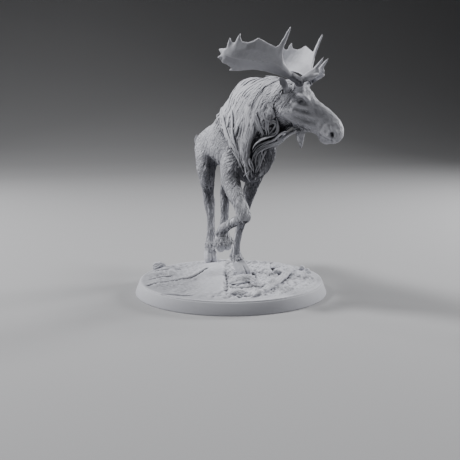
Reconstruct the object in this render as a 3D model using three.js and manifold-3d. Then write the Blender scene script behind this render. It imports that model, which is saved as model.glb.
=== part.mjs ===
// A cast tabletop figure of a trotting bull moose on a round scenic base.
// Millimetres, +Z up. The origin is the middle of the base's underside. The moose
// heads towards -Y, so its right side is towards -X; its head is turned to its left.
import * as THREE from "three";
import { mergeVertices } from "three/addons/utils/BufferGeometryUtils.js";
import Module from "manifold-3d";

const wasm = await Module();
wasm.setup();

// ---- Driving dimensions ----
const baseDiameter = 50;
const baseHeight = 3;
const bevelInset = 1.1; // how far the rim leans in from its bottom edge to its top edge
const cutGap = 0.1; // the thin cuts that part the named pieces
const groundGap = 0.06; // between a hoof and the ground under it
const figureSink = 0.76; // the figure's own ground level, below the base's flat top
const figureScale = 1.013; // of the head, and of the heights below
const headPitch = THREE.MathUtils.degToRad(40.7); // nose down
const headYaw = THREE.MathUtils.degToRad(50); // turned to the animal's left
const eyeRadius = 0.62;
const antlerThickness = 0.72;
const palmCup = 0.17; // how deep the palm is cupped, as a share of its width
const maneLockCount = 6; // on each side
const bibLockCount = 4;
const resinGrey = 0xb4b6bc;

const resin = new THREE.MeshStandardMaterial({ color: resinGrey, roughness: 0.6, metalness: 0 });

// ---- Solids ----

// A three.js geometry as a solid: only positions are kept, and equal ones are merged.
function solid(geometry) {
  const bare = geometry.clone();
  for (const name of Object.keys(bare.attributes)) {
    if (name !== "position") bare.deleteAttribute(name);
  }
  const merged = mergeVertices(bare, 1e-4);
  const mesh = new wasm.Mesh({
    numProp: 3,
    vertProperties: new Float32Array(merged.attributes.position.array),
    triVerts: new Uint32Array(merged.index.array),
  });
  return new wasm.Manifold(mesh);
}

function join(solids) {
  return solids.reduce((sum, next) => sum.add(next));
}

function geometryOf(manifold) {
  const { vertProperties, triVerts } = manifold.getMesh();
  const geometry = new THREE.BufferGeometry();
  geometry.setAttribute("position", new THREE.BufferAttribute(new Float32Array(vertProperties), 3));
  geometry.setIndex(new THREE.BufferAttribute(new Uint32Array(triVerts), 1));
  geometry.computeVertexNormals();
  return geometry;
}

function smoothThrough(values) {
  return new THREE.CatmullRomCurve3(values, false, "catmullrom", 0.5);
}

// A closed rounded limb. Each station is { at, wide, deep, side }: a point, the half width
// along `side`, and the half depth square to it. `narrow` draws the section in towards its
// top, `cup` bends it into a trough, and `blunt` keeps its girth close to its two ends.
function limb(stations, { side = [1, 0, 0], sides = 10, rings = 8, narrow = 0, cup = 0, blunt } = {}) {
  const spine = smoothThrough(stations.map((s) => new THREE.Vector3(...s.at)));
  const girth = smoothThrough(stations.map((s) => new THREE.Vector3(s.wide, s.deep, 0)));
  const turn = smoothThrough(stations.map((s) => new THREE.Vector3(...(s.side ?? side))));
  const geometry = new THREE.SphereGeometry(1, sides, rings);
  const position = geometry.attributes.position;
  for (let ring = 0; ring <= rings; ring++) {
    const shift = blunt ? 0.65 : 0;
    const t = THREE.MathUtils.clamp((ring - shift) / (rings - 2 * shift), 0, 1);
    const centre = spine.getPoint(t);
    const tangent = spine.getTangent(t);
    const across = turn.getPoint(t);
    across.addScaledVector(tangent, -tangent.dot(across)).normalize();
    const top = new THREE.Vector3().crossVectors(tangent, across);
    const size = girth.getPoint(t);
    const isPole = ring === 0 || ring === rings;
    for (let i = 0; i <= sides; i++) {
      const angle = (2 * Math.PI * (i % sides)) / sides;
      const height = Math.sin(angle);
      const width = -Math.cos(angle) * (1 - narrow * height);
      const dip = cup * size.x * (width * width - 1);
      const point = centre.clone();
      if (!isPole) {
        point.addScaledVector(across, Math.max(size.x, 0.08) * width);
        point.addScaledVector(top, Math.max(size.y, 0.08) * height + dip);
      }
      position.setXYZ(ring * (sides + 1) + i, point.x, point.y, point.z);
    }
  }
  return solid(geometry);
}

// A round taper through the points given, from `thick` down to a fine tip.
function tine(points, thick, { side = [1, 0, 0], sides = 5, rings = 4, end = 0.25 } = {}) {
  const last = points.length - 1;
  const stations = points.map((at, i) => {
    const girth = i === last ? 0.12 : thick + (end - thick) * (i / last);
    return { at, wide: girth, deep: girth };
  });
  return limb(stations, { side, sides, rings });
}

function ball([x, y, z], [rx, ry, rz], around = 8) {
  const sphere = new THREE.SphereGeometry(1, around, Math.round(around * 0.65));
  sphere.scale(rx, ry, rz);
  sphere.translate(x, y, z);
  return solid(sphere);
}

// A thin round cut: where a named piece ends and its neighbour starts.
function thinCut(at, normal, radius) {
  const disc = new THREE.CylinderGeometry(radius, radius, cutGap, 16);
  const turn = new THREE.Quaternion().setFromUnitVectors(
    new THREE.Vector3(0, 1, 0),
    new THREE.Vector3(...normal).normalize(),
  );
  disc.applyQuaternion(turn);
  disc.translate(...at);
  return solid(disc);
}

// ---- Places ----

// Heights on the base, and heights on the figure.
const onBase = (h) => baseHeight + h;
const above = (h) => baseHeight - figureSink + figureScale * h;

const poll = new THREE.Vector3(4.3, -26, above(51.4)); // top of the skull

// The body's middle line drifts a little to the animal's left towards the tail.
const spineX = (y) => 1.5 + 0.04 * (y + 8);

const headFrame = new THREE.Matrix4()
  .makeRotationFromEuler(new THREE.Euler(headPitch, 0, headYaw, "ZXY"))
  .scale(new THREE.Vector3(figureScale, figureScale, figureScale))
  .setPosition(poll);

// A place on the head: mm forward of the poll, up from it, and out to the animal's right.
function onHead(forward, up, right) {
  return new THREE.Vector3(-right, -forward, up).applyMatrix4(headFrame).toArray();
}

// A direction on the head, in the same order.
function headWay(forward, up, right) {
  return new THREE.Vector3(-right, -forward, up).transformDirection(headFrame).toArray();
}

// ---- Base and ground ----

// Eases from 0 at `from` to 1 at `to`, in either direction.
function ramp(from, to, v) {
  const t = THREE.MathUtils.clamp((v - from) / (to - from), 0, 1);
  return t * t * (3 - 2 * t);
}

// A soft hump of the given height, centre and reach.
function hump(x, y, height, [cx, cy], [rx, ry]) {
  return height * Math.exp(-(((x - cx) / rx) ** 2) - ((y - cy) / ry) ** 2);
}

// Height of the scenic ground above the base's flat top.
function groundRelief(x, y) {
  const ripple = 0.2 * Math.sin(0.55 * x + 0.8 * Math.sin(0.4 * y)) * Math.cos(0.5 * y - 0.3 * x);
  const knoll = hump(x, y, 1.1, [-1, 13], [9, 9]) + hump(x, y, 0.4, [3, 2], [5, 5]);
  const slabSide = x + 4 - 0.36 * y;
  const slab = ramp(-21, -13, y) * ramp(17, 10, y) * ramp(-4.4, -2.8, slabSide) * ramp(2.6, 1.8, slabSide);
  const leftBank = 0.9 * ramp(-10, -14, x) * ramp(2, 5, y + 0.35 * x);
  const rightBank = hump(x, y, 0.6, [14, 6], [6, 7]);
  const edge = ramp(24, 19.5, Math.hypot(x, y));
  return 0.3 + edge * (0.15 + ripple + knoll + slab + leftBank + rightBank);
}

const groundRadius = baseDiameter / 2 - bevelInset - 0.25;

// Rings of cells that follow the relief, over a flat foot on the base.
function groundSolid() {
  const rings = 10;
  const sectors = 30;
  const points = [];
  const faces = [];
  const hub = new THREE.Vector2();
  const rim = (k) => new THREE.Vector2(groundRadius, 0).rotateAround(hub, (2 * Math.PI * k) / sectors);
  for (let ring = 0; ring < rings; ring++) {
    for (let k = 0; k < sectors; k++) {
      const { x, y } = rim(k).multiplyScalar(1 - ring / rings);
      points.push([x, y, onBase(groundRelief(x, y))]);
    }
  }
  const summit = points.push([0, 0, onBase(groundRelief(0, 0))]) - 1;
  const footStart = points.length;
  for (let k = 0; k < sectors; k++) points.push([...rim(k).toArray(), baseHeight]);
  const middle = points.push([0, 0, baseHeight]) - 1;
  const cell = (ring, k) => (ring === rings ? summit : ring * sectors + (k % sectors));
  const foot = (k) => footStart + (k % sectors);
  for (let k = 0; k < sectors; k++) {
    faces.push([foot(k), foot(k + 1), cell(0, k + 1)], [foot(k), cell(0, k + 1), cell(0, k)]);
    faces.push([foot(k + 1), foot(k), middle]);
    for (let ring = 0; ring < rings; ring++) {
      faces.push([cell(ring, k), cell(ring, k + 1), cell(ring + 1, k + 1)]);
      if (ring < rings - 1) faces.push([cell(ring, k), cell(ring + 1, k + 1), cell(ring + 1, k)]);
    }
  }
  const geometry = new THREE.BufferGeometry();
  geometry.setAttribute("position", new THREE.Float32BufferAttribute(points.flat(), 3));
  geometry.setIndex(faces.flat());
  return solid(geometry);
}

function baseSolid() {
  const outer = baseDiameter / 2;
  const inner = outer - bevelInset;
  const profile = [
    [0, 0],
    [outer - 0.15, 0],
    [outer, 0.15],
    [inner + 0.12, baseHeight - 0.15],
    [inner - 0.1, baseHeight],
    [0, baseHeight],
  ].map(([r, z]) => new THREE.Vector2(r, z));
  const disc = new THREE.LatheGeometry(profile, 48);
  disc.rotateX(Math.PI / 2);
  return solid(disc);
}

// A faceted stone, seeded so that each one differs.
function stone([x, y, h], [rx, ry, rz], seed) {
  const rock = new THREE.IcosahedronGeometry(1, Math.max(rx, ry) > 1 ? 1 : 0);
  const position = rock.attributes.position;
  const spot = new THREE.Vector3();
  for (let i = 0; i < position.count; i++) {
    spot.fromBufferAttribute(position, i);
    const bump = 1 + 0.14 * Math.sin(5 * spot.x + seed) * Math.cos(4 * spot.y - 2 * seed + 3 * spot.z);
    spot.multiplyScalar(bump);
    position.setXYZ(i, x + rx * spot.x, y + ry * spot.y, onBase(h) + rz * spot.z);
  }
  return solid(rock);
}

// Boulder, fallen branch and stones that lie on the ground.
function looseGround() {
  const branch = limb(
    [
      { at: [-3.0, -22.0, onBase(0.8)], wide: 0.3, deep: 0.3 },
      { at: [1.6, -18.6, onBase(1.2)], wide: 0.75, deep: 0.7 },
      { at: [7.2, -13.0, onBase(1.5)], wide: 0.85, deep: 0.8 },
      { at: [12.6, -6.6, onBase(1.7)], wide: 0.8, deep: 0.7 },
      { at: [17.6, 0.2, onBase(1.5)], wide: 0.5, deep: 0.5 },
      { at: [18.6, 1.6, onBase(1.3)], wide: 0.2, deep: 0.2 },
    ],
    { side: [0.75, -0.65, 0], sides: 8, rings: 10 },
  );
  return {
    branch,
    boulder: stone([0.3, -8.6, 1.3], [3.6, 2.9, 1.6], 1),
    stone_front: stone([-4.4, -17.4, 1.0], [2.0, 1.5, 0.9], 2),
    stone_back: stone([15.2, 5.2, 1.2], [2.0, 1.7, 1.1], 3),
    stone_right: stone([13.0, -0.8, 1.1], [1.4, 1.2, 0.9], 4),
    stone_left: stone([-14.8, 17.0, 1.2], [1.7, 1.5, 1.2], 5),
    pebble_1: stone([21.6, 2.4, 0.9], [0.8, 0.7, 0.8], 6),
    pebble_2: stone([21.9, -0.2, 0.8], [0.7, 0.7, 0.7], 7),
    pebble_3: stone([21.0, -3.2, 0.8], [0.7, 0.8, 0.8], 8),
  };
}

// ---- The moose's body ----

// Back line, belly line and half width, from the buttocks forward to the breast.
function trunk() {
  const sections = [
    { y: 29.0, back: 34.9, belly: 33.4, wide: 0.6 },
    { y: 27.4, back: 37.0, belly: 30.4, wide: 3.0 },
    { y: 23.5, back: 39.0, belly: 28.4, wide: 4.8 },
    { y: 18.0, back: 40.3, belly: 28.8, wide: 5.5 },
    { y: 12.0, back: 41.6, belly: 30.0, wide: 5.5 },
    { y: 6.0, back: 44.2, belly: 29.0, wide: 6.2 },
    { y: 0.0, back: 47.6, belly: 27.6, wide: 6.6 },
    { y: -6.0, back: 50.4, belly: 26.6, wide: 6.1 },
    { y: -11.5, back: 51.0, belly: 26.6, wide: 5.2 },
    { y: -16.0, back: 48.6, belly: 28.2, wide: 3.9 },
    { y: -19.0, back: 44.8, belly: 30.8, wide: 3.2 },
    { y: -20.6, back: 40.5, belly: 34.5, wide: 0.8 },
  ];
  const stations = sections.map(({ y, back, belly, wide }) => ({
    at: [spineX(y), y, above((back + belly) / 2)],
    wide,
    deep: (back - belly) / 2,
  }));
  return limb(stations, { sides: 14, rings: 13, narrow: 0.24 });
}

function neck() {
  const stations = [
    { at: [1.5, -2.0, above(42.0)], wide: 3.6, deep: 6.6 },
    { at: [1.4, -9.0, above(43.8)], wide: 5.1, deep: 8.5 },
    { at: [1.4, -14.5, above(44.8)], wide: 4.7, deep: 7.9 },
    { at: [2.3, -19.2, above(45.9)], wide: 4.3, deep: 6.6 },
    { at: [3.9, -23.2, above(46.4)], wide: 3.6, deep: 5.5 },
    { at: [5.7, -26.6, above(45.6)], wide: 2.3, deep: 3.8 },
  ];
  return limb(stations, { sides: 12, rings: 9, narrow: 0.12 });
}

// Shoulder, haunch and breast masses that swell the trunk's outline.
function bodyMasses() {
  return [
    ball([-2.6, -11.0, above(37.6)], [2.2, 4.2, 7.4]),
    ball([4.8, -9.6, above(37.6)], [1.8, 4.2, 7.4]),
    ball([-0.8, 18.6, above(33.0)], [2.8, 5.4, 5.6]),
    ball([5.4, 20.0, above(33.0)], [2.8, 5.4, 5.6]),
    ball([0.9, -16.2, above(33.4)], [3.1, 3.2, 5.0]),
  ];
}

// Each leg: the thigh or forearm from its root to the knee or hock, the shank from there
// to the fetlock, the foot, and the level cut where the leg leaves the body.
const legs = {
  fore_right: {
    bones: [
      { at: [-2.2, -13.8, above(37.0)], wide: 1.6, deep: 3.2 },
      { at: [-4.1, -10.5, above(31.0)], wide: 2.6, deep: 4.8 },
      { at: [-4.25, -12.4, above(27.0)], wide: 2.1, deep: 3.3 },
      { at: [-3.9, -16.2, above(23.4)], wide: 1.75, deep: 2.05 },
      { at: [-3.3, -18.9, above(20.2)], wide: 1.6, deep: 1.7 },
    ],
    shank: [
      { at: [-3.3, -19.2, above(20.8)], wide: 1.2, deep: 1.2 },
      { at: [-3.4, -18.7, above(20.0)], wide: 1.65, deep: 1.65 },
      { at: [-4.1, -15.6, above(18.8)], wide: 1.15, deep: 1.2 },
      { at: [-5.0, -11.6, above(17.1)], wide: 1.15, deep: 1.2 },
      { at: [-5.6, -8.7, above(15.3)], wide: 1.5, deep: 1.5 },
      { at: [-5.7, -8.1, above(14.3)], wide: 1.1, deep: 1.1 },
    ],
    foot: {
      fetlock: [-5.6, -8.4, above(14.9)],
      toe: [-4.8, -8.9, above(10.7)],
      splay: 0.9,
      bulk: 1.24,
    },
    bodyCut: { at: [-4.5, -12.8, above(25.3)], radius: 5.0 },
  },
  fore_left: {
    bones: [
      { at: [4.6, -11.6, above(37.0)], wide: 1.6, deep: 3.2 },
      { at: [4.2, -9.0, above(31.5)], wide: 1.9, deep: 3.6 },
      { at: [3.5, -6.6, above(27.0)], wide: 1.7, deep: 2.8 },
      { at: [2.9, -3.4, above(21.8)], wide: 1.6, deep: 1.85 },
      { at: [2.9, -0.8, above(17.6)], wide: 1.5, deep: 1.6 },
    ],
    shank: [
      { at: [2.9, -1.3, above(18.4)], wide: 1.1, deep: 1.1 },
      { at: [2.9, -0.5, above(16.8)], wide: 1.45, deep: 1.5 },
      { at: [2.6, 1.0, above(13.2)], wide: 1.05, deep: 1.15 },
      { at: [2.3, 2.0, above(9.6)], wide: 1.0, deep: 1.1 },
      { at: [2.4, 3.2, above(6.0)], wide: 1.4, deep: 1.45 },
      { at: [2.5, 3.4, above(5.2)], wide: 1.1, deep: 1.1 },
    ],
    foot: { fetlock: [2.4, 3.1, above(5.7)], toe: [4.1, -0.6, above(1.7)], splay: 0.8, bulk: 1.1 },
    bodyCut: { at: [3.4, -5.8, above(25.3)], radius: 3.9 },
  },
  hind_right: {
    bones: [
      { at: [-0.4, 18.2, above(37.4)], wide: 1.8, deep: 4.6 },
      { at: [-1.4, 16.2, above(31.0)], wide: 2.8, deep: 4.9 },
      { at: [-1.5, 15.2, above(26.2)], wide: 2.4, deep: 3.5 },
      { at: [-0.7, 16.6, above(22.4)], wide: 1.55, deep: 2.2 },
      { at: [-0.2, 17.6, above(19.8)], wide: 1.5, deep: 2.1 },
    ],
    shank: [
      { at: [0.0, 18.4, above(21.2)], wide: 1.0, deep: 1.2 },
      { at: [-0.1, 17.4, above(19.2)], wide: 1.6, deep: 2.0 },
      { at: [0.1, 16.6, above(15.2)], wide: 1.1, deep: 1.3 },
      { at: [-0.1, 15.9, above(9.8)], wide: 1.15, deep: 1.25 },
      { at: [-0.5, 15.5, above(6.9)], wide: 1.55, deep: 1.55 },
      { at: [-0.6, 15.3, above(5.8)], wide: 1.2, deep: 1.2 },
    ],
    foot: { fetlock: [-0.6, 15.4, above(6.4)], toe: [-0.9, 13.4, above(2.8)], splay: 0.8, bulk: 1.06 },
    bodyCut: { at: [-1.7, 15.4, above(27.0)], radius: 5.6 },
  },
  hind_left: {
    bones: [
      { at: [5.0, 19.0, above(37.4)], wide: 1.8, deep: 4.6 },
      { at: [6.2, 17.2, above(31.0)], wide: 2.4, deep: 4.9 },
      { at: [6.2, 17.2, above(26.4)], wide: 2.0, deep: 3.4 },
      { at: [5.9, 19.6, above(22.8)], wide: 1.5, deep: 2.1 },
      { at: [5.9, 21.0, above(20.6)], wide: 1.5, deep: 2.0 },
    ],
    shank: [
      { at: [5.9, 21.8, above(21.6)], wide: 1.0, deep: 1.2 },
      { at: [5.9, 21.0, above(20.0)], wide: 1.5, deep: 1.85 },
      { at: [5.7, 20.6, above(16.6)], wide: 1.25, deep: 1.35 },
      { at: [5.3, 20.3, above(12.6)], wide: 1.2, deep: 1.25 },
      { at: [4.9, 20.1, above(10.2)], wide: 1.45, deep: 1.5 },
      { at: [4.9, 20.1, above(9.2)], wide: 1.1, deep: 1.1 },
    ],
    foot: { fetlock: [4.9, 20.1, above(9.9)], toe: [5.0, 19.0, above(6.0)], splay: 0.75, bulk: 1.06 },
    bodyCut: { at: [6.2, 17.2, above(27.0)], radius: 5.6 },
  },
};

// Two long cloven toes and two dewclaws, from the fetlock down to the toes' tips.
function hoof({ fetlock, toe, splay, bulk }) {
  const from = new THREE.Vector3(...fetlock);
  const to = new THREE.Vector3(...toe);
  const way = to.clone().sub(from).normalize();
  const outward = new THREE.Vector3(1, 0, 0).addScaledVector(way, -way.x).normalize();
  const heelward = new THREE.Vector3().crossVectors(outward, way).normalize();
  if (heelward.y < 0) heelward.negate();
  const along = (share, out, heel) => {
    const p = from.clone().lerp(to, share);
    return p.addScaledVector(outward, out).addScaledVector(heelward, heel).toArray();
  };
  const claw = (hand) =>
    limb(
      [
        { at: along(-0.05, 0.45 * hand, 0), wide: 0.7 * bulk, deep: 1.0 * bulk },
        { at: along(0.35, 0.8 * splay * hand, 0.05), wide: 0.86 * bulk, deep: 1.2 * bulk },
        { at: along(0.72, splay * hand, 0.2), wide: 0.88 * bulk, deep: 1.3 * bulk },
        { at: along(0.97, 1.02 * splay * hand, 0.1), wide: 0.7 * bulk, deep: 1.0 * bulk },
        { at: along(1.07, splay * hand, -0.15), wide: 0.34, deep: 0.5 },
      ],
      { side: outward.toArray(), sides: 6, rings: 5 },
    );
  const dewclaw = (hand) => {
    const points = [along(0.1, 0.6 * hand, 0.3), along(0.42, 0.95 * hand, 1.7)];
    return tine(points, 0.55, { sides: 4, rings: 3 });
  };
  return [claw(1), claw(-1), dewclaw(1), dewclaw(-1)];
}

function leg({ bones, shank, foot }) {
  const thigh = limb(bones, { sides: 8, rings: 7, blunt: true });
  return [thigh, limb(shank, { sides: 7, rings: 7, blunt: true }), ...hoof(foot)];
}

function tail() {
  const stations = [
    { at: [2.2, 26.4, above(36.6)], wide: 1.0, deep: 0.9 },
    { at: [1.7, 29.2, above(36.4)], wide: 1.2, deep: 0.9 },
    { at: [1.1, 30.2, above(34.8)], wide: 1.2, deep: 0.8 },
    { at: [0.7, 30.2, above(32.8)], wide: 0.8, deep: 0.6 },
    { at: [0.5, 29.9, above(31.2)], wide: 0.2, deep: 0.2 },
  ];
  return limb(stations, { sides: 8, rings: 7 });
}

// ---- Head ----

// Crown line, jaw line and half width, from the nape forward to the nose.
function skull() {
  const sections = [
    { forward: -1.4, crown: -1.5, jaw: -4.0, wide: 0.8 },
    { forward: 0.2, crown: 0.5, jaw: -6.2, wide: 2.4 },
    { forward: 2.4, crown: 1.6, jaw: -7.2, wide: 3.0 },
    { forward: 4.6, crown: 2.35, jaw: -7.3, wide: 3.1 },
    { forward: 6.6, crown: 1.75, jaw: -7.0, wide: 2.75 },
    { forward: 9.0, crown: 1.5, jaw: -6.2, wide: 2.2 },
    { forward: 11.5, crown: 1.65, jaw: -5.0, wide: 2.0 },
    { forward: 13.8, crown: 1.5, jaw: -4.5, wide: 2.3 },
    { forward: 15.6, crown: 0.75, jaw: -4.6, wide: 2.5 },
    { forward: 17.0, crown: -0.6, jaw: -4.1, wide: 1.9 },
    { forward: 17.7, crown: -1.8, jaw: -3.2, wide: 0.5 },
  ];
  const stations = sections.map(({ forward, crown, jaw, wide }) => ({
    at: onHead(forward, (crown + jaw) / 2, 0),
    wide,
    deep: (crown - jaw) / 2,
  }));
  return limb(stations, { side: headWay(0, 0, -1), sides: 12, rings: 14, narrow: -0.06 });
}

function faceBall(forward, up, right, [along, tall, across]) {
  const sphere = new THREE.SphereGeometry(1, 7, 5);
  sphere.scale(across, along, tall);
  sphere.translate(-right, -forward, up);
  sphere.applyMatrix4(headFrame);
  return solid(sphere);
}

function faceMasses() {
  const paired = (forward, up, right, radii) => [
    faceBall(forward, up, right, radii),
    faceBall(forward, up, -right, radii),
  ];
  return [
    ...paired(5.4, 0.2, 2.3, [1.7, 1.0, 1.0]), // brow
    ...paired(5.0, -4.2, 1.8, [3.0, 2.5, 1.3]), // cheek
    ...paired(15.3, -1.9, 1.5, [1.6, 1.5, 1.2]), // nostril wing
    faceBall(14.6, -4.4, 0, [1.5, 0.9, 1.4]), // lower lip
  ];
}

// Each ear is an open leaf that stands out, up and back.
function ear(hand) {
  const stations = [
    { at: onHead(2.3, -1.9, 1.8 * hand), wide: 0.6, deep: 0.5 },
    { at: onHead(1.6, -1.2, 3.6 * hand), wide: 1.0, deep: 0.55 },
    { at: onHead(0.7, -0.3, 5.0 * hand), wide: 1.3, deep: 0.45 },
    { at: onHead(-0.1, 0.4, 6.2 * hand), wide: 1.0, deep: 0.38 },
    { at: onHead(-0.8, 0.9, 7.1 * hand), wide: 0.22, deep: 0.2 },
  ];
  return limb(stations, { side: headWay(0.55, 0.8, 0.2 * hand), sides: 10, rings: 7, cup: -0.35 * hand });
}

// The bell of skin and hair that hangs from the throat.
function bell() {
  const stations = [
    { at: onHead(8.4, -5.2, 0), wide: 0.9, deep: 1.9 },
    { at: onHead(9.5, -6.6, 0), wide: 0.75, deep: 1.35 },
    { at: onHead(10.5, -7.7, 0), wide: 0.6, deep: 0.8 },
    { at: onHead(11.7, -8.9, 0), wide: 0.42, deep: 0.5 },
    { at: onHead(12.65, -9.75, 0), wide: 0.14, deep: 0.14 },
  ];
  return limb(stations, { side: headWay(0, 0, -1), sides: 8, rings: 6 });
}

// ---- Antlers ----

// The palm's own curved sheet, without its points: its upper and lower rim, from the beam
// out to the far end, as [forward, up, right].
const palmRims = [
  { upper: [2.1, 2.9, 6.2], lower: [2.0, 1.9, 6.2] },
  { upper: [0.86, 3.3, 9.0], lower: [0.9, 1.9, 8.8] },
  { upper: [-0.8, 4.4, 12.0], lower: [-0.4, 1.8, 11.2] },
  { upper: [-2.5, 5.6, 14.5], lower: [-2.4, 0.8, 13.2] },
  { upper: [-4.4, 5.3, 16.9], lower: [-4.4, -0.9, 15.2] },
  { upper: [-6.3, 4.7, 18.4], lower: [-6.2, -2.6, 16.4] },
  { upper: [-7.9, 2.9, 18.9], lower: [-7.8, -3.2, 17.2] },
  { upper: [-9.6, 1.0, 18.9], lower: [-9.5, -2.6, 17.8] },
  { upper: [-10.3, -0.4, 18.6], lower: [-10.2, -1.3, 18.2] },
];

// Its scalloped outline, with the points: [rim station, forward, up, right].
const palmUpperEdge = [
  [0.0, 2.1, 2.9, 6.2],
  [1.0, 0.86, 3.3, 9.0],
  [2.0, -0.8, 4.4, 12.0],
  [2.4, -1.6, 5.6, 13.2],
  [2.52, -2.3, 7.0, 13.4],
  [2.6, -2.9, 8.6, 13.2],
  [2.68, -3.4, 9.9, 13.2],
  [2.74, -3.8, 11.1, 13.4], // the long point
  [2.82, -3.7, 9.8, 13.6],
  [2.9, -3.3, 8.3, 13.8],
  [3.0, -2.9, 6.8, 14.4],
  [3.25, -3.0, 6.1, 15.1],
  [3.9, -4.3, 5.85, 16.7],
  [4.7, -6.2, 5.6, 18.3], // the blunt point
  [5.1, -6.6, 4.5, 18.5],
  [5.55, -7.2, 3.6, 18.8],
  [6.1, -8.3, 3.0, 18.9],
  [6.35, -9.0, 3.2, 18.9],
  [6.5, -9.6, 4.0, 18.9], // third point
  [6.65, -9.5, 2.9, 18.9],
  [6.85, -9.2, 1.9, 18.9],
  [7.1, -9.9, 1.4, 18.9],
  [7.25, -10.8, 2.0, 19.0], // fourth point
  [7.4, -10.4, 0.9, 18.7],
  [7.55, -9.8, 0.1, 18.8],
  [7.8, -10.6, -1.0, 18.4],
];
const palmLowerEdge = [
  [0.0, 2.0, 1.9, 6.2],
  [1.0, 0.9, 1.7, 8.8],
  [1.9, -0.3, 1.3, 10.7],
  [2.85, -2.2, 0.6, 12.8],
  [3.75, -3.8, -0.3, 15.0],
  [4.3, -4.9, -1.4, 15.7],
  [5.0, -6.2, -2.8, 16.3],
  [5.4, -7.3, -3.7, 16.6], // lower point
  [5.6, -7.0, -2.8, 17.0],
  [6.2, -8.1, -2.8, 17.6],
  [6.8, -9.3, -3.2, 17.5],
  [7.0, -9.6, -2.9, 17.6],
  [7.35, -10.6, -3.0, 17.9], // sixth point
  [7.65, -10.1, -1.9, 18.2],
];
const palmTip = [-11.6, -1.6, 18.1]; // fifth point, where both edges meet

function pointOnEdge(edge, station) {
  const next = Math.max(edge.findIndex(([at]) => at >= station), 1);
  const [from, ...a] = edge[next - 1];
  const [to, ...b] = edge[next];
  const share = (station - from) / (to - from);
  return new THREE.Vector3(...a).lerp(new THREE.Vector3(...b), share);
}

// The cupped plate inside that outline: rows of cells across it, thinner towards its edges.
function palmPlate(hand) {
  const last = palmRims.length - 1;
  const upperRim = smoothThrough(palmRims.map(({ upper }) => new THREE.Vector3(...upper)));
  const lowerRim = smoothThrough(palmRims.map(({ lower }) => new THREE.Vector3(...lower)));
  const allStations = [...palmUpperEdge, ...palmLowerEdge].map(([station]) => station);
  const lastUpper = palmUpperEdge.at(-1)[0];
  const lastLower = palmLowerEdge.at(-1)[0];
  const shared = [...new Set(allStations)].filter((at) => at <= Math.min(lastUpper, lastLower));
  const rows = shared.sort((a, b) => a - b).map((station) => {
    const upper = upperRim.getPoint(station / last);
    const lower = lowerRim.getPoint(station / last);
    const rise = upper.clone().sub(lower);
    const onward = upperRim.getTangent(station / last).add(lowerRim.getTangent(station / last));
    const square = new THREE.Vector3().crossVectors(rise, onward).normalize();
    const middle = upper.clone().lerp(lower, 0.5).addScaledVector(square, palmCup * rise.length());
    const inner = (edgePoint, rim) => {
      const reach = Math.min(edgePoint.distanceTo(middle) / rim.distanceTo(middle), 1);
      const bent = middle.clone().lerp(rim, 0.62 * reach);
      return bent.addScaledVector(square, 0.1 * reach * palmCup * rise.length());
    };
    const top = pointOnEdge(palmUpperEdge, station);
    const bottom = pointOnEdge(palmLowerEdge, station);
    const path = [bottom, inner(bottom, lower), middle, inner(top, upper), top];
    const thick = antlerThickness * (1 + 0.7 * ramp(2, 0, station));
    const halves = [0.24, 0.42, 0.5, 0.42, 0.24].map((share) => share * thick);
    const front = path.map((at, i) => at.clone().addScaledVector(square, halves[i]));
    const back = path.map((at, i) => at.clone().addScaledVector(square, -halves[i]));
    return [...front, ...back.reverse()];
  });
  const around = rows[0].length;
  const root = upperRim.getPoint(0).lerp(lowerRim.getPoint(0), 0.5);
  const points = [...rows.flat(), root, new THREE.Vector3(...palmTip)];
  const rootIndex = points.length - 2;
  const tipIndex = points.length - 1;
  const cell = (row, k) => row * around + (k % around);
  const faces = [];
  for (let k = 0; k < around; k++) {
    faces.push([rootIndex, cell(0, k + 1), cell(0, k)]);
    faces.push([tipIndex, cell(rows.length - 1, k), cell(rows.length - 1, k + 1)]);
    for (let row = 0; row < rows.length - 1; row++) {
      faces.push([cell(row, k), cell(row, k + 1), cell(row + 1, k + 1)]);
      faces.push([cell(row, k), cell(row + 1, k + 1), cell(row + 1, k)]);
    }
  }
  const geometry = new THREE.BufferGeometry();
  const placed = points.map(({ x, y, z }) => onHead(x, y, z * hand));
  geometry.setAttribute("position", new THREE.Float32BufferAttribute(placed.flat(), 3));
  geometry.setIndex(faces.map(([a, b, c]) => (hand > 0 ? [a, b, c] : [a, c, b])).flat());
  return solid(geometry);
}

// One antler: a short beam, the palm with its points, and a forked brow branch.
function antler(hand) {
  const p = (forward, up, right) => onHead(forward, up, right * hand);
  const upward = { side: headWay(1, 0, 0) };
  const beam = limb(
    [
      { at: p(3.3, 0.0, 1.4), wide: 0.8, deep: 0.8 },
      { at: p(3.1, 1.5, 2.9), wide: 1.2, deep: 1.15 },
      { at: p(2.7, 2.3, 4.8), wide: 0.95, deep: 0.9 },
      { at: p(1.8, 2.5, 7.2), wide: 0.95, deep: 0.75 },
      { at: p(0.8, 2.6, 9.0), wide: 0.9, deep: 0.4 },
    ],
    { side: headWay(0.3, 1, 0.1 * hand), sides: 8, rings: 7 },
  );
  const brow = [
    limb(
      [
        { at: p(2.9, 1.9, 4.4), wide: 0.7, deep: 0.7 },
        { at: p(3.3, 3.5, 3.6), wide: 0.85, deep: 0.6 },
        { at: p(3.8, 5.0, 2.7), wide: 1.1, deep: 0.48 },
        { at: p(3.9, 6.2, 2.1), wide: 0.8, deep: 0.4 },
        { at: p(3.9, 6.9, 2.0), wide: 0.2, deep: 0.2 },
      ],
      { side: headWay(1, 0, 0), sides: 8, rings: 6 },
    ),
    tine([p(3.5, 5.2, 2.4), p(3.4, 7.3, 2.0), p(3.2, 9.5, 2.3)], 0.55, upward),
    tine([p(4.0, 4.6, 2.9), p(4.6, 5.4, 2.9), p(5.0, 6.0, 2.8)], 0.5, upward),
  ];
  return [beam, palmPlate(hand), ...brow];
}

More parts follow.
